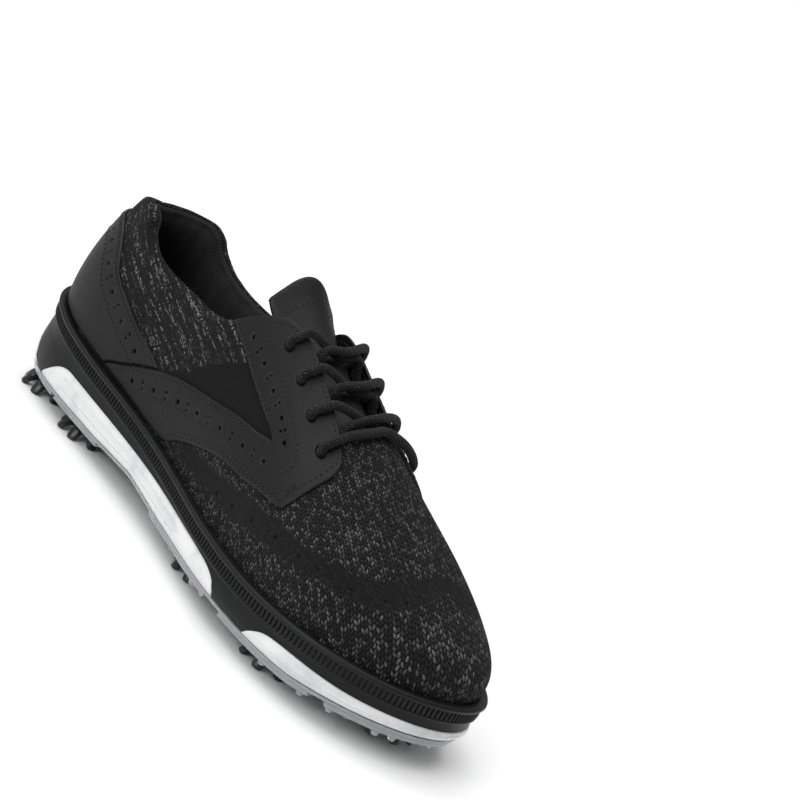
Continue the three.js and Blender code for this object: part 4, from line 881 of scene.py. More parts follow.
def vamp():
    line = through(np.array(JOINT_LINE), False, 6)
    front = np.stack([np.full(90, HALF_GIRTH), np.linspace(0, 1, 90)], 1)
    crest = np.stack([np.linspace(219, HALF_GIRTH, 90), np.ones(90)], 1)
    foot = np.stack([np.linspace(118, HALF_GIRTH, 160), np.zeros(160)], 1)
    back = np.array(VAMP_BACK)
    outline = np.vstack([foot[:-1], front[:-1], crest[::-1][:-1], back[::-1][1:], line[::-1][:-1]])
    eyelet = ring_hole(EYELETS[3], EYELET_RADIUS + 1.0, 16)
    spots = flat_units(BAND_DOTS)
    turns = np.linspace(0, 2 * math.pi, 12, endpoint=False)
    ring = np.stack([np.cos(turns), np.sin(turns)], 1)
    rings = [spots] + [spots[:, None] + r * ring for r in (0.6, 1.15, 1.7)]
    pts, tris, _ = cut([flat_units(outline)], [eyelet], grid=1.9, rim=0.3,
                       extra=np.vstack([r.reshape(-1, 2) for r in rings]))
    seam = (pts[:, 1] > HEIGHT_UNIT - 1e-3) | (pts[:, 0] > HALF_GIRTH - 1e-3)
    n = len(pts)
    twin = np.arange(n)
    twin[~seam] = n + np.arange((~seam).sum())
    both = np.vstack([pts, pts[~seam]])
    side = np.concatenate([np.ones(n), -np.ones((~seam).sum())])
    faces = np.vstack([tris, twin[tris][:, ::-1]])
    s, t = side * both[:, 0], both[:, 1] / HEIGHT_UNIT
    top = on_last(s, t, 0.0)
    base = on_last(s, t, -KNIT)
    plan = top[:, :2] / MM
    cloth = unfold(top, faces, plan, np.abs(both[:, 1] - 0.8 * HEIGHT_UNIT) < 0.2 * HEIGHT_UNIT)
    girth, h = np.abs(s), t
    soft = 0.012
    band = (np.clip((BAND_UPPER(girth) - h) / soft, 0, 1) * np.clip((h - BAND_LOWER(girth)) / soft, 0, 1)
            * np.clip((girth - 150) / 12, 0, 1))
    near = np.linalg.norm(both[:, None] * (1, 1 / STRETCH) - spots[None] * (1, 1 / STRETCH), axis=2).min(1)
    # The dots mask also carries the painted shade inside the band's small eyelets.
    dots = np.clip((1.45 - near) / 0.5, 0, 1)
    verts, all_faces = slab(top, base, faces)
    return new_piece("vamp", verts, all_faces, VAMP_KNIT, np.vstack([cloth, cloth]),
                     {"band": np.concatenate([band, band]), "dots": np.concatenate([dots, dots])}, outward=True)


EYELETS = [(169.5, 0.64), (186.5, 0.635), (203.5, 0.628), (220, 0.61)]
EYELET_RADIUS = 3.0
STRETCH = 1.17


def ring_hole(place, radius, sides):
    a = np.linspace(0, 2 * math.pi, sides, endpoint=False)
    return np.stack([place[0] + radius * np.cos(a), place[1] * HEIGHT_UNIT + radius * STRETCH * np.sin(a)], 1)


settle(vamp(), ["vamp_knit"])
print("vamp", len(shoe_pieces["vamp"][0].data.vertices), "points")

# %% [markdown]
# The back half of the upper is a finer knit, one piece for each side. At the top it does not end at the
# collar line: it rolls over the padding and is sewn to the lining just inside. The roll is made in the
# mapping, by bending whatever lies above the collar line round a small radius.
# %% quarters
COLLAR = [(160, 0.66), (147, 0.555), (140, 0.48), (133, 0.43), (119, 0.402), (95, 0.405), (75, 0.425),
          (60, 0.47), (52, 0.515), (42, 0.535), (25, 0.53), (0, 0.515)]
collar_height = smooth_table(sorted(COLLAR))
KNIT_THROAT = [(208, 0.70), (193, 0.715), (177, 0.712), (167, 0.695), (160, 0.66), (152, 0.595)]
ROLL = 3.1
ROLL_EXTRA = 5.9
NET_TOP = smooth_table([(100, 0.10), (118, 0.17), (129, 0.215), (137, 0.262), (142, 0.315), (149, 0.37),
                        (158, 0.44), (170, 0.5), (190, 0.56)])


def over_collar(s, t, w):
    """Lays points on the last, and bends what is above the collar line inwards."""
    line = collar_height(np.abs(s))
    above = np.maximum(t - line, 0) * HEIGHT_UNIT
    angle = above / ROLL
    near = (np.abs(s) < 147) & (above > 0)
    lift = np.where(near, line + ROLL * np.sin(angle) / HEIGHT_UNIT, t)
    depth = np.where(near, w * np.cos(angle) - ROLL * (1 - np.cos(angle)), w)
    lift = np.where(near, lift + w * np.sin(angle) / HEIGHT_UNIT, lift)
    return on_last(s, lift, depth)


def quarter(name, side):
    line = through(np.array(JOINT_LINE), False, 6) + (-0.5, 0.003)
    reach = np.linspace(142, 0.15, 80)
    edge_line = np.stack([reach, collar_height(reach) + ROLL_EXTRA / HEIGHT_UNIT], 1)
    foot = np.stack([np.linspace(0.15, 117, 70), np.zeros(70)], 1)
    outline = np.vstack([foot, line[1:], np.array(KNIT_THROAT), [(146, 0.57)], edge_line])
    holes = [ring_hole(e, EYELET_RADIUS + 1.0, 16) for e in EYELETS[:3]]
    pts, tris, _ = cut([flat_units(outline)], holes, grid=1.9, rim=0.3)
    s, t = side * pts[:, 0], pts[:, 1] / HEIGHT_UNIT
    top, base = over_collar(s, t, np.zeros(len(s))), over_collar(s, t, np.full(len(s), -0.9))
    cloth = np.stack([pts[:, 0], height_mm(s, t)], 1)
    net_part = np.clip((NET_TOP(pts[:, 0]) - t) / 0.008, 0, 1)
    verts, faces = slab(top, base, facing_out(tris, side))
    return new_piece(name, verts, faces, QUARTER_KNIT, np.vstack([cloth, cloth]),
                     {"net": np.concatenate([net_part, net_part])}, outward=True)


settle(quarter("quarter_lateral", LATERAL), ["quarter_knit_lateral"])
settle(quarter("quarter_medial", MEDIAL), ["quarter_knit_medial"])
print("quarters done")

# %% [markdown]
# The coated leather overlays are the wing, which carries the eyelets and the strap, and the foxing round the
# heel. Both carry broguing: rows of punched holes, a large one and then a small pair. The holes are really
# cut, so light falls into them. The rows follow a line set in from the edge of each panel.
# %% overlays and broguing
SKIN = 0.45
OVERLAY = 1.1
THROAT = [(140, 0.485), (147, 0.565), (154, 0.64), (160, 0.69), (168, 0.725), (177, 0.74), (193, 0.742),
          (211, 0.738), (222, 0.715), (229, 0.68)]
STRAP_LOWER = [(231, 0.345), (226, 0.322), (217, 0.295), (202, 0.245), (188, 0.21), (171, 0.15), (156, 0.085),
               (147, 0.036)]
STRAP_UPPER = [(90, 0.036), (92.5, 0.052), (99, 0.08), (112, 0.135), (126, 0.184), (143, 0.234), (161, 0.284),
               (176, 0.334), (192, 0.384), (202, 0.43)]
FACING_REAR = [(197, 0.44), (184, 0.44), (170, 0.45), (153, 0.47)]
WING = THROAT + [(232, 0.62), (232, 0.425)] + STRAP_LOWER + STRAP_UPPER + FACING_REAR
FOXING = [(88.2, 0.036), (91, 0.056), (97.5, 0.084), (110.5, 0.139), (121, 0.176), (101.9, 0.21), (80.4, 0.265),
          (65.8, 0.31), (54.8, 0.375), (44, 0.425), (30, 0.45)]
FACING_HOLES = [(154, 0.52), (168, 0.515), (182, 0.505), (196, 0.50), (207, 0.475)]
STRAP_HOLES = [(207, 0.365), (192, 0.31), (174, 0.255), (157, 0.205), (143, 0.165), (126, 0.115), (111, 0.075)]
FOXING_HOLES = [(103, 0.157), (86, 0.197), (70, 0.247), (55, 0.307), (44, 0.368), (28, 0.405), (9.5, 0.415)]
LARGE_HOLE = 1.05
SMALL_HOLE = 0.55
PAIR_OFFSET = 1.5
CUT_RIM = 0.6
WORN_RIM = 0.9


def brogue(row):
    """Large holes at the points of the row, with a small pair between each two."""
    row = flat_units(row)
    middle, step = (row[1:] + row[:-1]) / 2, row[1:] - row[:-1]
    across = np.stack([-step[:, 1], step[:, 0]], 1) / np.linalg.norm(step, axis=1)[:, None]
    holes = [(p, LARGE_HOLE) for p in row]
    for offset in (PAIR_OFFSET, -PAIR_OFFSET):
        holes += [(m + a * offset, SMALL_HOLE) for m, a in zip(middle, across)]
    made = []
    for (x, y), r in holes:
        a = np.linspace(0, 2 * math.pi, 12 if r == LARGE_HOLE else 8, endpoint=False)
        made.append(np.stack([x + r * np.cos(a), y + r * np.sin(a)], 1))
    return made


def overlay(name, outline, holes, side):
    pts, tris, dist = cut([spaced(flow(flat_units(outline)), 1.1)], holes, grid=1.9, rim=CUT_RIM)
    w = rolled(dist, SKIN + OVERLAY, CUT_RIM, 0.45)
    top, base = on_side(pts, side, w), on_side(pts, side, SKIN)
    verts, faces = slab(top, base, facing_out(tris, side))
    rim = np.clip(1 - dist / WORN_RIM, 0, 1)
    return new_piece(name, verts, faces, LEATHER, masks={"rim": np.concatenate([rim, rim])}, outward=True)


wing_holes = brogue(FACING_HOLES) + brogue(STRAP_HOLES) + [ring_hole(e, EYELET_RADIUS, 20) for e in EYELETS]
settle(overlay("wing_overlay_lateral", WING, wing_holes, LATERAL), ["wing_lateral"])
settle(overlay("wing_overlay_medial", WING, wing_holes, MEDIAL), ["wing_medial"])
foxing_round = FOXING + [(0, 0.462)] + [(-s, t) for s, t in FOXING[::-1]]
foxing_row = FOXING_HOLES + [(-s, t) for s, t in FOXING_HOLES[::-1]]
settle(overlay("heel_foxing_overlay", foxing_round, brogue(foxing_row), LATERAL), ["heel_foxing"])
print("overlays cut with", len(wing_holes) * 2 + 3 * len(foxing_row), "holes")

# %% [markdown]
# Seams are what make a shoe look sewn. One Geometry Nodes tree lays a stitch at an even pitch along any
# line: it resamples the line, turns each stitch along it and away from the leather, and makes it all real
# mesh. The line carries an "up" direction at each point, read from the last, so the stitches lie flat on the
# curved panels.
# %% stitch tree


def new_tree(name, inputs):
    tree = bpy.data.node_groups.new(name, "GeometryNodeTree")
    tree.interface.new_socket(name="Geometry", in_out="INPUT", socket_type="NodeSocketGeometry")
    for label, kind, value in inputs:
        socket = tree.interface.new_socket(name=label, in_out="INPUT", socket_type="NodeSocket" + kind)
        if value is not None:
            socket.default_value = value
    tree.interface.new_socket(name="Geometry", in_out="OUTPUT", socket_type="NodeSocketGeometry")
    return tree, tree.nodes.new("NodeGroupInput").outputs, tree.nodes.new("NodeGroupOutput").inputs


def chain(tree, start, *nodes):
    for node in nodes:
        tree.links.new(start, node.inputs[0])
        start = node.outputs[0]
    return start


def turn_to(tree, up, along):
    turn = tree.nodes.new("FunctionNodeAxesToRotation")
    turn.primary_axis = "Z"
    turn.secondary_axis = "X"
    tree.links.new(up, turn.inputs[0])
    tree.links.new(along, turn.inputs[1])
    return turn.outputs[0]


def stored(tree, name):
    node = tree.nodes.new("GeometryNodeInputNamedAttribute")
    node.data_type = "FLOAT_VECTOR"
    node.inputs["Name"].default_value = name
    return node.outputs["Attribute"]


def ball(tree):
    node = tree.nodes.new("GeometryNodeMeshUVSphere")
    node.inputs["Segments"].default_value = 6
    node.inputs["Rings"].default_value = 4
    node.inputs["Radius"].default_value = 1.0
    smooth = tree.nodes.new("GeometryNodeSetShadeSmooth")
    tree.links.new(node.outputs["Mesh"], smooth.inputs[0])
    return smooth.outputs[0]


def row_tree(name, shape, pitch):
    """A tree that lays the shape along a line at an even pitch, turned along the line and facing up."""
    tree, given, result = new_tree(name, [("Pitch", "Float", pitch), ("Size", "Vector", None),
                                          ("Finish", "Material", None)])
    names = ("MeshToCurve", "ResampleCurve", "InstanceOnPoints", "RealizeInstances", "SetMaterial")
    to_curve, resample, place, real, paint = (tree.nodes.new("GeometryNode" + kind) for kind in names)
    resample.mode = "LENGTH"
    tree.links.new(given["Pitch"], resample.inputs["Length"])
    tree.links.new(chain(tree, given["Geometry"], to_curve, resample, place, real, paint), result[0])
    tree.links.new(shape(tree), place.inputs["Instance"])
    tangent = tree.nodes.new("GeometryNodeInputTangent").outputs[0]
    tree.links.new(turn_to(tree, stored(tree, "up"), tangent), place.inputs["Rotation"])
    tree.links.new(given["Size"], place.inputs["Scale"])
    tree.links.new(given["Finish"], paint.inputs["Material"])
    return tree


STITCH_TREE = row_tree("stitch row", ball, 0.0025)


def run_tree(piece, tree, **values):
    """Runs a tree on the piece and keeps the result as its plain mesh."""
    modifier = piece.modifiers.new(tree.name, "NODES")
    modifier.node_group = tree
    for item in tree.interface.items_tree:
        if item.in_out == "INPUT" and item.name in values:
            modifier[item.identifier] = values[item.name]
    evaluated = piece.evaluated_get(bpy.context.evaluated_depsgraph_get())
    mesh = bpy.data.meshes.new_from_object(evaluated)
    piece.modifiers.clear()
    piece.data = mesh
    return piece


def face_out(piece):
    """Turns all faces of closed shells outwards."""
    bm = bmesh.new()
    bm.from_mesh(piece.data)
    bmesh.ops.recalc_face_normals(bm, faces=bm.faces)
    bm.to_mesh(piece.data)
    bm.free()
    return piece


def line_piece(name, lines, body="shoe"):
    """Lines with an up direction: each is (points, ups, closed), in metres."""
    points, ups, edges, start = [], [], [], 0
    for p, up, closed in lines:
        n = len(p)
        points.append(p)
        ups.append(up)
        edges += [(start + k, start + k + 1) for k in range(n - 1)]
        edges += [(start + n - 1, start)] if closed else []
        start += n
    mesh = bpy.data.meshes.new(name)
    mesh.from_pydata(np.vstack(points).tolist(), edges, [])
    mesh.attributes.new("up", "FLOAT_VECTOR", "POINT").data.foreach_set(
        "vector", np.vstack(ups).astype(np.float32).ravel())
    piece = bpy.data.objects.new(name, mesh)
    bpy.context.scene.collection.objects.link(piece)
    shoe_pieces[name] = (piece, body)
    return piece


print("stitch tree has", len(STITCH_TREE.nodes), "nodes")

# %% [markdown]
# The rows follow the real seams: round the throat, along both edges of the strap with a double row below,
# down the rear of the facing, and round the brogued strip. A short bar of close stitches locks the front
# corner. The rows are drawn once in pattern units and laid on both sides of the shoe.
# %% seams of the upper
STITCH_HIGH = SKIN + OVERLAY + 0.02
STITCH_PITCH = 0.0027
STITCH_SIZE = (0.00096, 0.00040, 0.00034)


def set_in(points, by):
    """Pattern line moved sideways, to the left of its direction."""
    p = flat_units(points)
    step = np.gradient(p, axis=0)
    step /= np.linalg.norm(step, axis=1)[:, None]
    return p + np.stack([-step[:, 1], step[:, 0]], 1) * by


def seam(points, side, smooth=True):
    """Line of the pattern laid on the leather, with the direction that faces away from it."""
    p = even(through(points, False, 8) if smooth else points, max(4, int(len(points) * 10)))
    s, t = side * p[:, 0], p[:, 1] / HEIGHT_UNIT
    return on_last(s, t, STITCH_HIGH), last_normal(s, t), False


throat_line = set_in(THROAT[1:] + [(231.5, 0.62), (231.5, 0.43), (230.5, 0.36)], -3.0)
lower_outer = set_in([(229, 0.335)] + STRAP_LOWER[1:-1] + [(150, 0.055)], -1.8)
lower_inner = set_in([(227, 0.345)] + STRAP_LOWER[1:-1] + [(150, 0.055)], -3.9)
upper_line = set_in([(95, 0.062)] + STRAP_UPPER[2:-1], -2.0)
rear_line = set_in([(200, 0.437)] + FACING_REAR[1:] + [(143, 0.483)], -2.0)
strip_line = flat_units([(150, 0.575), (164, 0.567), (180, 0.557), (198, 0.545), (211, 0.524), (218, 0.482),
                         (218.5, 0.43), (213, 0.375), (203, 0.328), (190, 0.282), (172, 0.226), (155, 0.175),
                         (140, 0.133), (124, 0.088), (112, 0.055)])
bar_tack = [np.array([(226.0 + k * 0.8, 0.405 * HEIGHT_UNIT), (226.0 + k * 0.8, 0.438 * HEIGHT_UNIT)])
            for k in range(3)]
foxing_front = set_in(FOXING[5:] + [(15, 0.46), (0, 0.462)], 2.0)
foxing_inner = set_in(FOXING[5:] + [(15, 0.46), (0, 0.462)], 12.6)
foxing_inner = np.vstack([[(108, 0.115 * HEIGHT_UNIT)], foxing_inner[foxing_inner[:, 0] > 0.5]])
rows = []
for hand in (LATERAL, MEDIAL):
    for line in (throat_line, lower_outer, lower_inner, upper_line, rear_line, strip_line, foxing_front,
                 foxing_inner):
        rows.append(seam(line, hand))
    rows += [seam(line, hand, smooth=False) for line in bar_tack]
stitches = line_piece("seam_stitches", rows)
run_tree(stitches, STITCH_TREE, Pitch=STITCH_PITCH, Size=STITCH_SIZE, Finish=THREAD)
settle(stitches)
print("stitches", len(stitches.data.polygons), "faces")

# %% [markdown]
# The collar is the padded rim that the ankle rests on. It is swept along the collar line from one closed
# section: thin above the foot, then a full roll whose inner side bulges. Small waves, smaller than the
# padding, keep it from looking machined. The lining net follows its own girth and height, so the weave bends
# with it.
# %% padded collar
COLLAR_PAD = 6.0


def collar():
    face, back, foot = KNIT + 0.45, 3.6, 0.05
    ends = np.linspace(148.5, 150, 3)
    girths = np.concatenate([-ends[::-1], np.arange(-146.5, 147, 2.0), ends])
    rings = []
    for s in girths:
        top = float(collar_height(abs(s)))
        end = math.sqrt(max(0.0, 1 - ((abs(s) - 146.5) / 3.6) ** 2)) if abs(s) > 146.5 else 1.0
        pad = (COLLAR_PAD + 0.5 * math.sin(s * 0.35) * math.sin(s * 0.11)) * (0.55 + 0.45 * end)
        pad *= 1 - 0.45 * min(max((abs(s) - 126) / 18, 0), 1)
        section = np.array([(foot, -back), (top - 0.2, -back), (top - 0.12, -back + 0.4),
                            (top - 0.04, -face - 0.6), (top + 0.006, -face - 1.3),
                            (top + 0.0165, -face - 2.3), (top + 0.014, -face - 4.2),
                            (top + 0.001, -face - pad + 0.9), (top - 0.025, -face - pad - 0.7),
                            (top - 0.075, -face - pad - 0.9), (top - 0.14, -face - pad + 0.4),
                            (top - 0.2, -back - 2.0), (top - 0.27, -back - 1.6), (foot, -back - 1.5)])
        curve = through(section * (HEIGHT_UNIT, 1.0), True, 5)
        rings.append(np.column_stack([np.full(len(curve), s), curve[:, 0] / HEIGHT_UNIT, curve[:, 1]]))
    rings = np.array(rings)
    n, m = rings.shape[:2]
    verts = on_last(rings[..., 0], rings[..., 1], rings[..., 2]).reshape(-1, 3)
    flat = rings.reshape(-1, 3)
    steps = np.diff(rings[n // 2, :, 1:] * (HEIGHT_UNIT, 1), axis=0)
    around = np.concatenate([[0], np.cumsum(np.linalg.norm(steps, axis=1))])
    cloth = np.stack([flat[:, 0], np.tile(around, n)], 1)
    faces = []
    for i in range(n - 1):
        for j in range(m):
            k = (j + 1) % m
            faces.append((i * m + j, i * m + k, (i + 1) * m + k, (i + 1) * m + j))
    faces.append(tuple(range(m)))
    faces.append(tuple(reversed(range((n - 1) * m, n * m))))
    piece = new_piece("collar_padding", verts, faces, LINING_MESH, cloth, outward=True)
    return face_out(piece)


collar_piece = settle(collar(), ["collar_lining"])
seam_girth = np.linspace(-141, 141, 220)
seam_top = collar_height(np.abs(seam_girth))
turned_over = 5.0 / ROLL
collar_seam = on_last(seam_girth, seam_top + (ROLL + 0.05) * math.sin(turned_over) / HEIGHT_UNIT,
                      -ROLL * (1 - math.cos(turned_over)) - 0.02)
collar_up = on_last(seam_girth, seam_top + 0.03, -4.0) - on_last(seam_girth, seam_top - 0.03, -4.0)
collar_up /= np.linalg.norm(collar_up, axis=1)[:, None]
seam_piece = line_piece("collar_seam", [(collar_seam, collar_up, False)])
run_tree(seam_piece, STITCH_TREE, Pitch=0.0023, Size=(0.0008, 0.00028, 0.00022), Finish=THREAD)
settle(seam_piece)
print("collar", len(collar_piece.data.vertices), "points")

# %% [markdown]
# The tongue is a leather skin over a padded net. Both follow one arched sheet under the laces, which widens
# to a flap above them, the skin on top and the padding crowned below it. A stitched line runs below the top
# edge. The tongue is its own body, because it presses down on the foot about a fold at its base.
# %% tongue
tongue_crest = smooth_table([(-24, 121), (-18, 116), (0, 105.4), (20, 97), (40, 89.6), (52, 86.2), (64, 81.6)])
TONGUE_FLARE = 5.0
tongue_half = smooth_table([(-24, 14.9), (-8, 13.5), (30, 13.5), (64, 12.6)])


def tongue_fall(y):
    """How far the arch has dropped at the side: round in the middle, straighter outside."""
    a = np.abs(y)
    return np.where(a < 14, 10.0 * (a / 17.0) ** 2, 6.78 + 0.75 * (a - 14))


def tongue_wide(x):
    """Half width: narrow between the facings, then a broad flap above them."""
    f = np.clip((-3.0 - x) / 13.0, 0, 1)
    return tongue_half(x) + TONGUE_FLARE * f * f * (3 - 2 * f)


def on_tongue(x, y, depth):
    z = tongue_crest(x) - tongue_fall(y)
    dx = (tongue_crest(x + 1) - tongue_crest(x - 1)) / 2
    dy = -(tongue_fall(y + 0.5) - tongue_fall(y - 0.5))
    size = np.sqrt(dx * dx + dy * dy + 1)
    return (np.stack([x - depth * dx / size, y - 1.6 - depth * dy / size, z + depth / size], -1) + SHIFT) * MM


def tongue_layer(name, high, low, material, swell, rim):
    ends = np.array([(-24, -1), (64, -1), (64, 1), (-24, 1)], float)
    outline = spaced(flow(ends * (1, 14.0)), 1.2)
    pts, tris, dist = cut([outline], grid=1.7, rim=rim)
    x = pts[:, 0]
    bow = 2.6 * (1 - (pts[:, 1] / 14.0) ** 2) * np.clip((-8 - x) / 16, 0, 1)
    y = pts[:, 1] / 14.0 * tongue_wide(x)
    full = np.clip(dist / (rim * 2.4), 0, 1)
    top = on_tongue(x - bow, y, rolled(dist, high, rim, min(0.45, (high - low) * 0.45)))
    sag = swell * np.sqrt(full * (2 - full))
    base = on_tongue(x - bow, y, low - sag + (swell if swell else 0))
    verts, faces = slab(top, base, tris)
    rim_mask = np.clip(1 - dist / WORN_RIM, 0, 1)
    return new_piece(name, verts, faces, material, np.vstack([pts, pts]),
                     {"rim": np.concatenate([rim_mask, rim_mask])}, body="tongue", outward=True)


settle(tongue_layer("tongue_skin", 0.0, -1.5, LEATHER, 0.0, 0.6), ["tongue_shell"])
tongue_pad = tongue_layer("tongue_padding", -1.65, -5.3, LINING_MESH, 1.8, 1.6)
settle(tongue_pad, ["tongue_lining"])
across = np.linspace(-0.86, 0.86, 40)
lines = []
start_x = np.full(40, -15.5)
bow_x = start_x - 1.4 * (1 - across ** 2)
top_line = on_tongue(bow_x, across * tongue_wide(start_x), 0.03)
lift = on_tongue(bow_x, across * tongue_wide(start_x), 1.03)
lines.append((top_line, (lift - top_line) / np.linalg.norm(lift - top_line, axis=1)[:, None], False))
tongue_stitches = line_piece("tongue_stitches", lines, body="tongue")
run_tree(tongue_stitches, STITCH_TREE, Pitch=0.0026, Size=(0.0009, 0.0003, 0.00025), Finish=THREAD)
settle(tongue_stitches)
print("tongue done")

# %% [markdown]
# The lace is one round braided cord, 4 mm thick, in criss-cross order with a straight bar at the bottom. Its
# route goes down through an eyelet, under the facing and up through the next one. The tube is swept with a
# frame that does not spin, and its cloth map runs along and round the cord for the braid.
# %% lace
LACE_RADIUS = 2.0
LACE_ON = SKIN + OVERLAY + LACE_RADIUS + 0.35
LACE_UNDER = -KNIT - LACE_RADIUS - 0.9


def lace_at(s, t, w):
    return on_last(s, t, w) / MM


def over_tongue(x, up):
    return on_tongue(np.float64(x), np.float64(0.0), LACE_RADIUS + 0.4 + up) / MM


def strand(side, n):
    (s, t), (s2, t2) = EYELETS[n], EYELETS[n + 1]
    up = 2 * LACE_RADIUS + 0.5 if side == MEDIAL else 0
    x = edge(s + 8)[0][0] + 0.5
    return [lace_at(side * s, t, -2.6), lace_at(side * s, t, 0.4), lace_at(side * s, t + 0.02, LACE_ON - 0.4),
            lace_at(side * (s + 1), t + 0.055, LACE_ON), lace_at(side * (s + 2), 0.745, LACE_ON),
            over_tongue(x, up),
            lace_at(-side * (s + 10), 0.81, -1.9), lace_at(-side * (s + 12), 0.73, LACE_UNDER + 0.2),
            lace_at(-side * (s + 14.5), 0.68, LACE_UNDER), lace_at(-side * (s2 - 0.8), t2 + 0.012, LACE_UNDER),
            lace_at(-side * s2, t2, -2.6)]


def lace_tail(side):
    s, t = EYELETS[0]
    route = [(300, 0.06), (288, 0.055), (276, 0.05), (264, 0.05), (252, 0.05), (240, 0.05), (228, 0.055),
             (217, 0.07), (207, 0.095), (198, 0.13), (191, 0.18), (185, 0.24), (180, 0.31), (176, 0.39),
             (173, 0.47), (171, 0.55)]
    return ([lace_at(side * a, b, LACE_UNDER - 1) for a, b in route]
            + [lace_at(side * s, t - 0.01, LACE_UNDER), lace_at(side * s, t, -2.6)])


def lace_route():
    down = strand(LATERAL, 0) + strand(MEDIAL, 1)[1:] + strand(LATERAL, 2)[1:]
    up = strand(MEDIAL, 0) + strand(LATERAL, 1)[1:] + strand(MEDIAL, 2)[1:]
    s, t = EYELETS[3]
    end = {k: [lace_at(k * s, t, 0.4), lace_at(k * s, t + 0.02, LACE_ON - 0.4),
               lace_at(k * s, t + 0.06, LACE_ON + 0.2)]
           for k in (LATERAL, MEDIAL)}
    rise = {k: [lace_at(k * s, 0.78, LACE_ON - 0.4), lace_at(k * s, 0.9, LACE_RADIUS + 0.8)]
            for k in (LATERAL, MEDIAL)}
    cx = float(crest_x(edge(s)[0][0]))
    top = np.array([cx, 0, float(crest_z(cx)) + LACE_RADIUS + 0.7]) + SHIFT
    bar = end[MEDIAL] + rise[MEDIAL] + [top] + rise[LATERAL][::-1] + end[LATERAL][::-1]
    return np.array(lace_tail(LATERAL) + down[1:] + bar + up[::-1] + lace_tail(MEDIAL)[::-1][1:])


def tube(name, path, radius, sides, material):
    t = np.gradient(path, axis=0)
    t /= np.linalg.norm(t, axis=1)[:, None]
    side = np.cross(t[0], (0, 0, 1.0))
    frames = []
    for k in range(len(path)):
        side = side - t[k] * side.dot(t[k])
        side /= np.linalg.norm(side)
        frames.append((side, np.cross(t[k], side)))
    a = np.linspace(0, 2 * math.pi, sides, endpoint=False)
    rings = np.array([p + radius * (np.cos(a)[:, None] * x + np.sin(a)[:, None] * y)
                      for p, (x, y) in zip(path, frames)])
    n = len(path)
    along = np.concatenate([[0], np.cumsum(np.linalg.norm(np.diff(path, axis=0), axis=1))])
    tip = radius * 0.3
    verts = np.vstack([rings.reshape(-1, 3), path[:1] - t[:1] * tip, path[-1:] + t[-1:] * tip])
    faces = [(i * sides + j, i * sides + k, (i + 1) * sides + k, (i + 1) * sides + j)
             for i in range(n - 1) for j in range(sides) for k in [(j + 1) % sides]]
    faces += [(n * sides, (j + 1) % sides, j) for j in range(sides)]
    faces += [(n * sides + 1, (n - 1) * sides + j, (n - 1) * sides + (j + 1) % sides) for j in range(sides)]
    round_mm = np.minimum(a, 2 * math.pi - a) * radius
    cloth = np.stack([np.repeat(along, sides), np.tile(round_mm, n)], 1)
    cloth = np.vstack([cloth, [(0, 0), (along[-1], 0)]])
    return new_piece(name, verts * MM, faces, material, cloth, outward=True), along[-1]


lace_path = even(through(lace_route(), False, 14), 900)
lace_piece, lace_length = tube("braided_lace", lace_path, LACE_RADIUS, 14, LACE_BRAID)
settle(lace_piece, ["lace"])
print("lace length", round(float(lace_length)), "mm")

# %% [markdown]
# Below the welt everything follows the same outline, moved inwards. One profile swept round it makes the
# foam midsole: a pinched wall, a band between two beads, and a rounded lip that holds the upper. The bottom
# and the bed for the foot are closed by rungs from the outer side to the inner side.
# %% midsole
WALL_FOOT = 1.8


def plate_top(x):
    return bottom(x) + WALL_FOOT


def wall_inset(x, z):
    z0, z1 = plate_top(x), panel_top(x)
    mid = (z0 + z1) / 2
    out = np.interp(z - z0, [0, 2.7], [3.4, 1.9])
    out = np.where(z > z0 + 2.7, 1.9 + (z - z0 - 2.7) / np.maximum(mid - z0 - 2.7, 0.1) * (1.5 - 1.9), out)
    out = np.where(z > mid, 1.5 + np.clip((z - mid) / (z1 - mid), 0, 1) * 0.7, out)
    return out


def inset_point(s, inset, z):
    """Metres, on the outline moved in by inset, at height z."""
    p, n = edge(s)
    at = p - n * np.asarray(inset)[..., None]
    z = np.broadcast_to(np.asarray(z, float), at.shape[:-1])
    return (np.concatenate([at, z[..., None]], -1) + SHIFT) * MM


def on_sole(s, q, w):
    s = over_toe(np.asarray(s, float))
    x = edge(s)[0][..., 0]
    z = bottom(x) + WALL_FOOT + q * (panel_top(x) - bottom(x) - WALL_FOOT)
    return inset_point(s, wall_inset(x, z) - w, z)


def over_toe(s):
    return np.where(s > HALF_GIRTH, s - 2 * HALF_GIRTH, np.where(s < -HALF_GIRTH, s + 2 * HALF_GIRTH, s))


half = np.linspace(0, HALF_GIRTH, 354)
loop_s = np.concatenate([half, -half[-2:0:-1]])
loop_x = edge(loop_s)[0][:, 0]


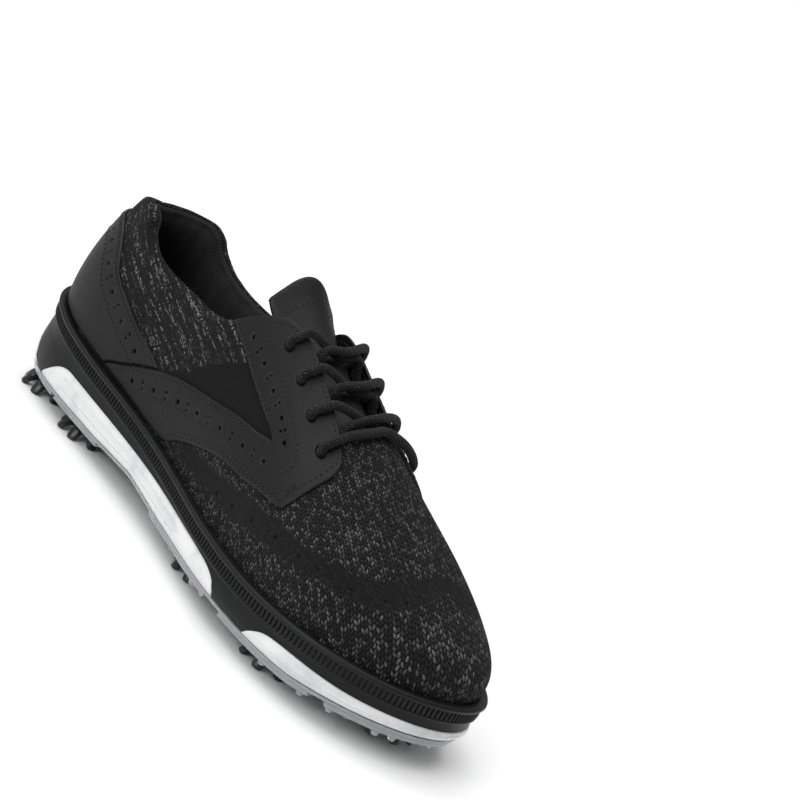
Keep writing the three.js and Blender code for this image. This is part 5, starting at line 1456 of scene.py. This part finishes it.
def swept(name, profile, material):
    """Sweeps (inset, height) rows round the outline and closes both ends; heights are functions of x."""
    rows = [(i, z(loop_x)) for i, z in profile]
    n, m = len(loop_s), len(rows)
    verts = np.stack([inset_point(loop_s, np.full(n, i), z) for i, z in rows], 1).reshape(-1, 3)
    i = np.arange(n)[:, None]
    j = np.arange(m - 1)[None, :]
    k = (i + 1) % n
    quads = np.stack([i * m + j, k * m + j, k * m + j + 1, i * m + j + 1], -1).reshape(-1, 4).tolist()
    half_n = n // 2
    for row, flip in ((0, True), (m - 1, False)):
        at = [a * m + row for a in range(n)]
        faces = [[at[0], at[1], at[n - 1]]]
        faces += [[at[a], at[a + 1], at[n - a - 1], at[n - a]] for a in range(1, half_n - 1)]
        faces.append([at[half_n - 1], at[half_n], at[half_n + 1]])
        quads += [f[::-1] if flip else f for f in faces]
    across = np.concatenate([[0], np.cumsum([math.hypot(b[0] - a[0], float(np.mean(np.asarray(b[1]) - a[1])))
                                             for a, b in zip(rows, rows[1:])])])
    cloth = np.stack([np.repeat(loop_s, m), np.tile(across, n)], 1)
    return new_piece(name, verts, quads, material, cloth, outward=True)


def down(table, by):
    return lambda x: table(x) - by


def arc_rows(centre_inset, table, by, radius, start, end, steps=6):
    """Rows round a bead of the given radius, from one angle to another, in degrees."""
    a = np.radians(np.linspace(start, end, steps))
    return [(centre_inset - radius * math.cos(v), down(table, by - radius * math.sin(v))) for v in a]


midsole_profile = ([(9, down(plate_top, 0)), (4.4, down(plate_top, 0)), (3.6, down(plate_top, -0.25)),
                    (3.1, down(plate_top, -0.8)), (1.9, down(plate_top, -2.7)),
                    (1.5, lambda x: (plate_top(x) + panel_top(x)) / 2), (2.15, down(panel_top, 0.2)),
                    (2.3, down(panel_top, -0.3)), (2.25, down(welt_top, 8.4))]
                   + arc_rows(1.9, welt_top, 7.3, 0.9, -75, 75)
                   + [(1.75, down(welt_top, 6.3)), (1.75, down(welt_top, 2.7))]
                   + arc_rows(1.3, welt_top, 1.3, 1.3, -80, 86, 9)
                   + [(3.7, down(welt_top, 0)), (4.3, down(welt_top, 0.6)), (4.4, down(welt_top, 2.2)),
                      (7.4, down(welt_top, 2.3)), (7.6, footbed)])
midsole = settle(swept("foam_midsole", midsole_profile, FOAM), ["midsole"])
print("midsole", len(midsole.data.polygons), "faces")

# %% [markdown]
# The band between the beads is finely ribbed. A second tree, the same walk along a line, lays one upright
# half round rib every 2.2 mm.
# %% ribbed band
def upright_rod(tree):
    rod, turned_up = (tree.nodes.new("GeometryNode" + kind) for kind in ("MeshCylinder", "Transform"))
    rod.inputs["Vertices"].default_value = 8
    rod.inputs["Radius"].default_value = 1.0
    rod.inputs["Depth"].default_value = 2.0
    turned_up.inputs["Rotation"].default_value = (math.pi / 2, 0, 0)
    return chain(tree, rod.outputs["Mesh"], turned_up)


RIB_TREE = row_tree("rib row", upright_rod, 0.0022)
band = inset_point(loop_s, np.full(len(loop_s), 1.75), welt_top(loop_x) - 4.5)
band_out = (inset_point(loop_s, np.full(len(loop_s), 0.75), welt_top(loop_x) - 4.5) - band) / MM
ribs = line_piece("ribbed_band", [(band, band_out, True)])
run_tree(ribs, RIB_TREE, Pitch=0.0022, Size=(0.0008, 0.0020, 0.0009), Finish=FOAM)
settle(ribs)
print("ribbed band", len(ribs.data.polygons), "faces")

# %% [markdown]
# Four hard white panels sit in pockets of the wall. Their outlines are cut flat, with sides and rims
# rounded. Long grooves run along the middle panels, and the heel panel has level ridges.
# %% white panels
PANEL_HEIGHT = 12.0


def groove(at, centre, width=1.0, depth=0.5):
    return depth * np.exp(-((at - centre) / (width * 0.5)) ** 2)


def long_grooves(s, h):
    a = np.abs(s)
    fade = np.clip((a - 64) / 8, 0, 1) * np.clip((204 - a) / 16, 0, 1)
    split = np.clip((a - 104) / 26, 0, 1)
    q = h / PANEL_HEIGHT
    total = sum(groove(q * PANEL_HEIGHT, PANEL_HEIGHT * c, 1.1, 0.55) for c in (0.34, 0.5, 0.66))
    return total * fade + groove(h, PANEL_HEIGHT * 0.83, 1.1, 0.4) * fade * split


def heel_ridges(s, h):
    fade = np.clip((40 - np.abs(s)) / 7, 0, 1)
    return sum(groove(h, PANEL_HEIGHT * c, 1.1, 0.5) for c in (0.3, 0.52, 0.74)) * fade


def toe_edge(s, h):
    return groove(h, PANEL_HEIGHT * 0.8, 1.0, 0.35) * (np.abs(HALF_GIRTH - s) < 70)


def panel(name, outline, side, relief, node):
    flat = np.array([(s, q * PANEL_HEIGHT) for s, q in outline], float)
    edge_line = spaced(flow(flat, corner=38), 1.1)
    pts, tris, dist = cut([edge_line], grid=1.15, rim=0.7)
    s, q = side * pts[:, 0], pts[:, 1] / PANEL_HEIGHT
    dip = relief(pts[:, 0], pts[:, 1]) * np.clip(dist / 1.2, 0, 1)
    verts, faces = slab(on_sole(s, q, rolled(dist, 0.6, 0.7, 0.5) - dip), on_sole(s, q, -1.8), tris)
    piece = new_piece(name, verts, faces, WHITE_COAT, np.vstack([pts, pts]), outward=True)
    return settle(piece, [node])


heel_side = [(42, 0), (38, 0.25), (30, 0.6), (24, 0.9), (18, 1)]
HEEL_PANEL = heel_side + [(0, 1)] + [(-s, q) for s, q in heel_side[::-1]]
MID_PANEL = [(52, 0), (58, 0.35), (66, 0.8), (72, 0.96), (80, 1), (110, 1), (140, 1), (175, 1), (208, 1),
             (219, 0.9), (226, 0.65), (229, 0.3), (228, 0)]
toe_side = [(252, 0), (256, 0.45), (262, 0.85), (270, 1)]
TOE_PANEL = (toe_side + [(310, 1), (HALF_GIRTH, 1), (397, 1)]
             + [(2 * HALF_GIRTH - s, q) for s, q in toe_side[::-1]])
panel("white_heel", HEEL_PANEL, 1, heel_ridges, "sidewall_heel")
panel("white_outer", MID_PANEL, LATERAL, long_grooves, "sidewall_lateral")
panel("white_inner", MID_PANEL, MEDIAL, long_grooves, "sidewall_medial")
panel("white_toe", TOE_PANEL, 1, toe_edge, "sidewall_toe")
print("four panels")

# %% [markdown]
# The outsole is a clear plate with round holes for the cleats. Clear pads stand below it round each cleat,
# with short round nubs for grip. A tree plants the nubs on a loose grid of points and makes them real.
# %% clear plate, pads and nubs
CLEATS = {"heel_rear_lateral": (-121, -17.5), "heel_rear_medial": (-121, 17), "heel_front_lateral": (-82, -20),
          "heel_front_medial": (-80, 18.5), "ball_rear_lateral": (27, -26.5), "ball_rear_medial": (33, 23.5),
          "ball_front_lateral": (84, -30), "ball_front_medial": (84, 28), "toe": (124, 1)}
PODS = {
    "heel_rear_lateral": [(-150, -40), (-150, -1.5), (-103, -1.5), (-103, -40)],
    "heel_rear_medial": [(-150, 40), (-103, 40), (-103, 1.5), (-150, 1.5)],
    "heel_front_lateral": [(-100, -40), (-100, -1.5), (-84, -1.5), (-72, -6), (-64, -17), (-60, -26),
                           (-60, -40)],
    "heel_front_medial": [(-100, 40), (-60, 40), (-58, 24), (-62, 14), (-78, 4), (-88, 1.5), (-100, 1.5)],
    "ball_rear_lateral": [(-6, -17), (-10, -30), (0, -45), (50, -60), (54, -46), (54, -12), (48, -7.5),
                          (32, -7.5), (12, -11)],
    "ball_rear_medial": [(-2, 12), (12, 5.5), (34, 2), (51, 2), (56, 7), (58, 40), (54, 50), (0, 40), (-6, 24)],
    "ball_front_lateral": [(66, -60), (64.5, -13), (69, -7.5), (92, -7.5), (101, -11), (108, -21), (116, -38),
                           (112, -60)],
    "ball_front_medial": [(68, 60), (112, 60), (116, 38), (109, 20), (101, 10), (92, 5.5), (72, 5.5), (66, 11)],
    "toe": [(104, -5), (111, -17), (121, -36), (132, -38), (160, -20), (160, 24), (134, 40), (121, 36),
            (112, 16), (105, 5)]}
TILT_START = 108                # in front of this the toe of the plate rises
TILT = math.atan2(4.7, 47.0)
UNDERSIDE = 9                   # height of the plate's underside
GAP = 0.3
PLATE_INSET, PLATE_THICK = 3.2, 1.5
PAD_INSET, PAD_FOOT = 4.4, -2.3
SOCKET_RADIUS = 8.9
NUB_PITCH, NUB_RADIUS, NUB_HEIGHT = 7.4, 2.0, 2.3
NUB_TO_CLEAT = 17.1             # from a nub's middle to a cleat's


def circle(x, y, r, n):
    a = np.linspace(0, 2 * math.pi, n, endpoint=False)
    return np.stack([x + r * np.cos(a), y + r * np.sin(a)], 1)


def outline_inset(by):
    p, n = edge(loop_s)
    return spaced(p - n * by, 1.4)


def below(pts, z, tilted=False):
    """Metres; heights are from the plate's underside, which rises at the toe."""
    x, y = pts[:, 0], pts[:, 1]
    z = np.broadcast_to(np.asarray(z, float), x.shape)
    if tilted:
        c, s = math.cos(TILT), math.sin(TILT)
        x, z = TILT_START + (x - TILT_START) * c - z * s, UNDERSIDE + (x - TILT_START) * s + z * c
    else:
        z = z + bottom(x)
    return (np.stack([x, y, z], 1) + SHIFT) * MM


def flat_part(keep, drop, low, high, rim, tilted=False):
    """Flat plate of the given outline with a rounded lower rim, as points and faces."""
    pts, tris, dist = cut(keep, drop, grid=2.4, rim=rim)
    top = np.full(len(pts), float(high))
    base = low + rim * 0.8 * (1 - np.sqrt(np.clip(1 - (1 - np.clip(dist / rim, 0, 1)) ** 2, 0, 1)))
    verts, faces = slab(below(pts, top, tilted), below(pts, base, tilted), tris)
    return verts, faces


def joined(name, parts, material, body="shoe"):
    verts, faces, start = [], [], 0
    for v, f in parts:
        verts.append(v)
        faces += [[int(i) + start for i in g] for g in f]
        start += len(v)
    return face_out(new_piece(name, np.vstack(verts), faces, material, body=body))


holes = [circle(x, y, SOCKET_RADIUS, 40) for x, y in CLEATS.values()]
plate_mesh = flat_part([outline_inset(PLATE_INSET)], holes, 0.0, PLATE_THICK, 0.5)
settle(joined("clear_plate", [plate_mesh], CLEAR), ["outsole_plate"])
pads = []
room = outline_inset(PAD_INSET)
for name, (cx, cy) in CLEATS.items():
    outline = spaced(flow(np.array(PODS[name], float), corner=70), 1.6)
    pads.append(flat_part([outline, room], [circle(cx, cy, SOCKET_RADIUS, 36)], PAD_FOOT, -GAP, 0.7,
                          name == "toe"))
settle(joined("clear_pads", pads, CLEAR), ["pod_" + name for name in CLEATS])


def within(loop, pts):
    a, b = loop, np.roll(loop, -1, axis=0)
    crossing = ((a[None, :, 1] > pts[:, None, 1]) != (b[None, :, 1] > pts[:, None, 1]))
    slope = (b - a)[None, :, 0] / np.where(np.abs((b - a)[None, :, 1]) < 1e-9, 1e-9, (b - a)[None, :, 1])
    x = a[None, :, 0] + (pts[:, None, 1] - a[None, :, 1]) * slope
    return (crossing & (pts[:, None, 0] < x)).sum(1) % 2 == 1


i, j = np.meshgrid(np.arange(-24, 25), np.arange(-9, 10))
grid_points = np.stack([(i + (j % 2) / 2).ravel() * NUB_PITCH, j.ravel() * NUB_PITCH * 0.866], 1)
clear_of = np.array([np.linalg.norm(grid_points - c, axis=1) > NUB_TO_CLEAT for c in CLEATS.values()]).all(0)
inner_room = outline_inset(PLATE_INSET + 2 + NUB_RADIUS)
nub_points, nub_up = [], []
for name in CLEATS:
    loop = np.array(PODS[name], float)
    keep = clear_of & within(loop, grid_points) & within(inner_room, grid_points)
    keep &= to_segments(grid_points, loop, np.roll(loop, -1, axis=0)) > NUB_RADIUS + 0.6
    tilted = name == "toe"
    nub_points.append(below(grid_points[keep], -2.2, tilted))
    nub_up.append(np.tile((math.sin(TILT), 0, -math.cos(TILT)) if tilted else (0, 0, -1.0), (keep.sum(), 1)))
NUB_TREE, given, result = new_tree("nubs", [("Radius", "Float", 0.002), ("Height", "Float", 0.0023),
                                            ("Clear", "Material", None)])
plant = NUB_TREE.nodes.new("GeometryNodeInstanceOnPoints")
real = NUB_TREE.nodes.new("GeometryNodeRealizeInstances")
paint = NUB_TREE.nodes.new("GeometryNodeSetMaterial")
NUB_TREE.links.new(chain(NUB_TREE, given["Geometry"], plant, real, paint), result[0])
nub = NUB_TREE.nodes.new("GeometryNodeMeshCone")
nub.inputs["Vertices"].default_value = 14
nub.inputs["Side Segments"].default_value = 1
NUB_TREE.links.new(given["Radius"], nub.inputs["Radius Bottom"])
narrow = NUB_TREE.nodes.new("ShaderNodeMath")
narrow.operation = "MULTIPLY"
narrow.inputs[1].default_value = 0.72
NUB_TREE.links.new(given["Radius"], narrow.inputs[0])
NUB_TREE.links.new(narrow.outputs[0], nub.inputs["Radius Top"])
NUB_TREE.links.new(given["Height"], nub.inputs["Depth"])
NUB_TREE.links.new(nub.outputs["Mesh"], plant.inputs["Instance"])
turn = NUB_TREE.nodes.new("FunctionNodeAlignRotationToVector")
turn.axis = "Z"
NUB_TREE.links.new(stored(NUB_TREE, "up"), turn.inputs["Vector"])
NUB_TREE.links.new(turn.outputs[0], plant.inputs["Rotation"])
NUB_TREE.links.new(given["Clear"], paint.inputs["Material"])
nub_mesh = bpy.data.meshes.new("clear_nubs")
nub_mesh.from_pydata(np.vstack(nub_points).tolist(), [], [])
nub_mesh.attributes.new("up", "FLOAT_VECTOR", "POINT").data.foreach_set(
    "vector", np.vstack(nub_up).astype(np.float32).ravel())
nubs = bpy.data.objects.new("clear_nubs", nub_mesh)
bpy.context.scene.collection.objects.link(nubs)
shoe_pieces["clear_nubs"] = (nubs, "shoe")
run_tree(nubs, NUB_TREE, Radius=NUB_RADIUS * MM, Height=NUB_HEIGHT * MM, Clear=CLEAR)
settle(nubs)
print(len(np.vstack(nub_points)), "nubs")

# %% [markdown]
# Under the waist a grey leaf-shaped medallion sits in a black frame, and a thin black web joins the pads
# under the ball of the foot.
# %% waist and web
LEAF = np.array([(-63, -5), (-52, -15), (-35, -19), (-15, -15.5), (-3, -8.5), (5, -2), (-5, 3), (-20, 8),
                 (-40, 9), (-55, 3.5)], float)
WEB_ARMS = [((14.5, -2.5), (60, -2.5)), ((60, -2.5), (98, -1)), ((59, -46), (60, -2.5)), ((63, 42), (60, -2.5))]


def grown(loop, by):
    step = np.roll(loop, -1, axis=0) - np.roll(loop, 1, axis=0)
    step /= np.linalg.norm(step, axis=1)[:, None]
    return loop + np.stack([step[:, 1], -step[:, 0]], 1) * by


leaf = turned(spaced(flow(LEAF, corner=75), 1.2))
settle(joined("leaf_medallion", [flat_part([leaf], [], -1.75, -0.55, 0.4)], MEDALLION),
       ["waist_medallion"])
leaf_ring = flat_part([spaced(grown(leaf, 4.4), 1.3)], [grown(leaf, GAP)], -2.55, -0.55, 0.9)
settle(joined("leaf_frame", [leaf_ring], WEB_RUBBER), ["waist_frame"])


def bar(a, b, r):
    a, b = np.array(a, float), np.array(b, float)
    t = math.atan2(b[1] - a[1], b[0] - a[0])
    v = np.linspace(math.pi / 2, 3 * math.pi / 2, 10)
    return np.vstack([a + r * np.stack([np.cos(v + t), np.sin(v + t)], 1),
                      b + r * np.stack([np.cos(v + t + math.pi), np.sin(v + t + math.pi)], 1)])


web_parts = []
for k, (a, b) in enumerate(WEB_ARMS):
    web_parts.append(flat_part([spaced(bar(a, b, 3.2), 1.1)], [], -1.5 + 0.02 * k, -GAP, 0.5))
settle(joined("rubber_web", web_parts, WEB_RUBBER), ["forefoot_web"])
print("waist done")

# %% [markdown]
# The cleats are soft stars: a disc with eight splayed legs and a star-shaped key hole. One cleat is modelled
# and copied to each socket, and each copy rides its own body, so that it twists with its joint.
# %% cleats
LEGS, LEG_HALF = 8, 2.2
STAR_POINTS = 6


def leg_ring(angle, half, profile):
    """A leg from its side profile (radius, z), rounded across its width."""
    c, s = math.cos(angle), math.sin(angle)
    rows = []
    widths = [-half, -half * 0.72, 0.0, half * 0.72, half]
    shrink = [0.78, 0.95, 1.0, 0.95, 0.78]
    centre = profile.mean(0)
    for v, k in zip(widths, shrink):
        p = centre + (profile - centre) * k
        rows.append(np.stack([p[:, 0] * c - v * s, p[:, 0] * s + v * c, p[:, 1]], 1))
    m, n = len(profile), len(rows)
    faces = [[i * m + j, i * m + (j + 1) % m, (i + 1) * m + (j + 1) % m, (i + 1) * m + j]
             for i in range(n - 1) for j in range(m)]
    faces += [list(range(m))[::-1], [(n - 1) * m + j for j in range(m)]]
    return np.vstack(rows), faces


def cleat_mesh():
    """Disc and stem turned from one profile, with the key hole's rings inside, then the legs."""
    n = 48
    profile = [(0.01, 2.5), (5.0, 2.5), (5.3, 2.2), (5.3, -2.3), (5.6, -2.6), (8.1, -2.6), (8.7, -3.0),
               (8.8, -4.5), (8.3, -5.0), (7.6, -5.2), (5.4, -5.35), (4.9, -5.3)]
    a = np.linspace(0, 2 * math.pi, n, endpoint=False)
    star = 3.4 + 0.7 * np.cos(STAR_POINTS * a)
    round_rows = [(np.full(n, r), z) for r, z in profile]
    rows = round_rows + [(star, -5.3), (star * 0.92, -3.4), (star * 0.0092, -3.4)]
    verts = np.stack([np.stack([r * np.cos(a), r * np.sin(a), np.full(n, z)], 1) for r, z in rows], 1)
    m = len(rows)
    faces = [[i * m + j, ((i + 1) % n) * m + j, ((i + 1) % n) * m + j + 1, i * m + j + 1]
             for i in range(n) for j in range(m - 1)]
    faces += [[i * m for i in range(n)], [i * m + m - 1 for i in range(n)][::-1]]
    parts = [(verts.reshape(-1, 3), faces)]
    leg = through(np.array([(6.3, -2.7), (9.0, -2.85), (11.4, -3.2), (13.0, -5.4), (14.35, -8.3), (14.3, -8.85),
                            (13.6, -9.0), (12.7, -8.95), (11.9, -8.3), (10.2, -6.5), (8.4, -5.3), (6.3, -5.1)]),
                  True, 2)
    leg[:, 1] = np.maximum(leg[:, 1], -9.0)
    for k in range(LEGS):
        parts.append(leg_ring((k + 0.5) * 2 * math.pi / LEGS, LEG_HALF, leg))
    return parts


star_parts = cleat_mesh()
for name, (cx, cy) in CLEATS.items():
    placed = []
    for v, f in star_parts:
        p = v + (cx, cy, 0)
        if name == "toe":
            c, s = math.cos(TILT), math.sin(TILT)
            x, z = p[:, 0] - TILT_START, p[:, 2]
            p = np.stack([TILT_START + x * c - z * s, p[:, 1], x * s + z * c], 1)
        placed.append(((p + (0, 0, UNDERSIDE) + SHIFT) * MM, f))
    star_cleat = joined("star_cleat_" + name, placed, CLEAT_PLASTIC, body="cleat_" + name)
    settle(star_cleat, ["cleat_" + name])
print("nine cleats,", sum(len(f) for _, f in star_parts), "faces each")

# %% [markdown]
# Inside the shoe a padded insole covers the board. It is a little crowned, with a soft rim. The stiffeners,
# the board and the cleat sockets keep their CAD shape and get their own materials.
# %% insole and what stays
insole_foot = down(footbed, -2.0)
insole_profile = [(9.0, insole_foot), (8.3, down(footbed, -2.2)), (8.1, down(footbed, -3.2)),
                  (8.3, down(footbed, -4.6)), (9.2, down(footbed, -5.4)), (11.0, down(footbed, -5.6)),
                  (14.0, down(footbed, -5.7))]
insole = settle(swept("padded_insole", insole_profile, LINING_MESH), ["insole"])
KEPT = {"heel_counter": BOARD, "toe_puff": BOARD, "lasting_board": BOARD, "shank_plate": BOARD}
for obj in list(bpy.data.objects):
    node = obj.name
    if obj.type != "MESH" or (node not in KEPT and not node.startswith("receptacle_")):
        continue
    finish = KEPT.get(node, CLEAT_PLASTIC)
    for k in range(len(obj.material_slots)):
        obj.material_slots[k].link = "OBJECT"
        obj.material_slots[k].material = finish
print("kept CAD pieces:", ", ".join(KEPT), "and the receptacles")

# %% [markdown]
# The stage is a plain pale floor that fades to nothing from below, so that the sole can be looked at too.
# The light is a broad soft sun from above, a low even surround and one wide lamp from the outer side. It
# shows the knit's relief without hard shadows.
# %% stage and light
floor_material, net, shader = finish_of("pale floor", 0.8)
shader.inputs["Base Color"].default_value = (0.95, 0.95, 0.95, 1)
clear_below = net.add("BsdfTransparent")
face_side = net.add("NewGeometry")
blend_floor = net.add("MixShader")
net.join(face_side.outputs["Backfacing"], blend_floor.inputs[0])
net.tree.links.new(shader.outputs[0], blend_floor.inputs[1])
net.tree.links.new(clear_below.outputs[0], blend_floor.inputs[2])
net.tree.links.new(blend_floor.outputs[0], net.tree.nodes["Material Output"].inputs["Surface"])
floor_mesh = bpy.data.meshes.new("floor")
FLOOR_HALF, FLOOR_HEIGHT = 6, -0.0002
corners = [(x * FLOOR_HALF, y * FLOOR_HALF, FLOOR_HEIGHT) for x, y in ((-1, -1), (1, -1), (1, 1), (-1, 1))]
floor_mesh.from_pydata(corners, [], [(0, 1, 2, 3)])
floor_mesh.materials.append(floor_material)
floor = bpy.data.objects.new("floor", floor_mesh)
bpy.context.scene.collection.objects.link(floor)

world = bpy.data.worlds.new("studio")
bpy.context.scene.world = world
world.use_nodes = True
air = world.node_tree
seen = air.nodes.new("ShaderNodeLightPath")
open_air = air.nodes.new("ShaderNodeBackground")
open_air.inputs["Color"].default_value = (1, 1, 1, 1)
open_air.inputs["Strength"].default_value = 1.0
air.nodes["Background"].inputs["Color"].default_value = (1, 1, 1, 1)
air.nodes["Background"].inputs["Strength"].default_value = 0.34
either = air.nodes.new("ShaderNodeMixShader")
air.links.new(seen.outputs["Is Camera Ray"], either.inputs[0])
air.links.new(air.nodes["Background"].outputs[0], either.inputs[1])
air.links.new(open_air.outputs[0], either.inputs[2])
air.links.new(either.outputs[0], air.nodes["World Output"].inputs["Surface"])


def lamp(name, kind, place, aim, **settings):
    data = bpy.data.lights.new(name, kind)
    for label, value in settings.items():
        setattr(data, label, value)
    source = bpy.data.objects.new(name, data)
    source.location = place
    source.rotation_mode = "QUATERNION"
    source.rotation_quaternion = (Vector(aim) - Vector(place)).to_track_quat("-Z", "Y")
    bpy.context.scene.collection.objects.link(source)


lamp("overhead", "SUN", (-0.25, -0.1, 1.0), (0, 0, 0), energy=2.5, angle=math.radians(70))
lamp("side lamp", "AREA", (0.1, -0.95, 0.55), (0, 0, 0.05), shape="DISK", size=0.6, energy=4.5)
bpy.context.scene.view_settings.view_transform = "Standard"
print("stage set")
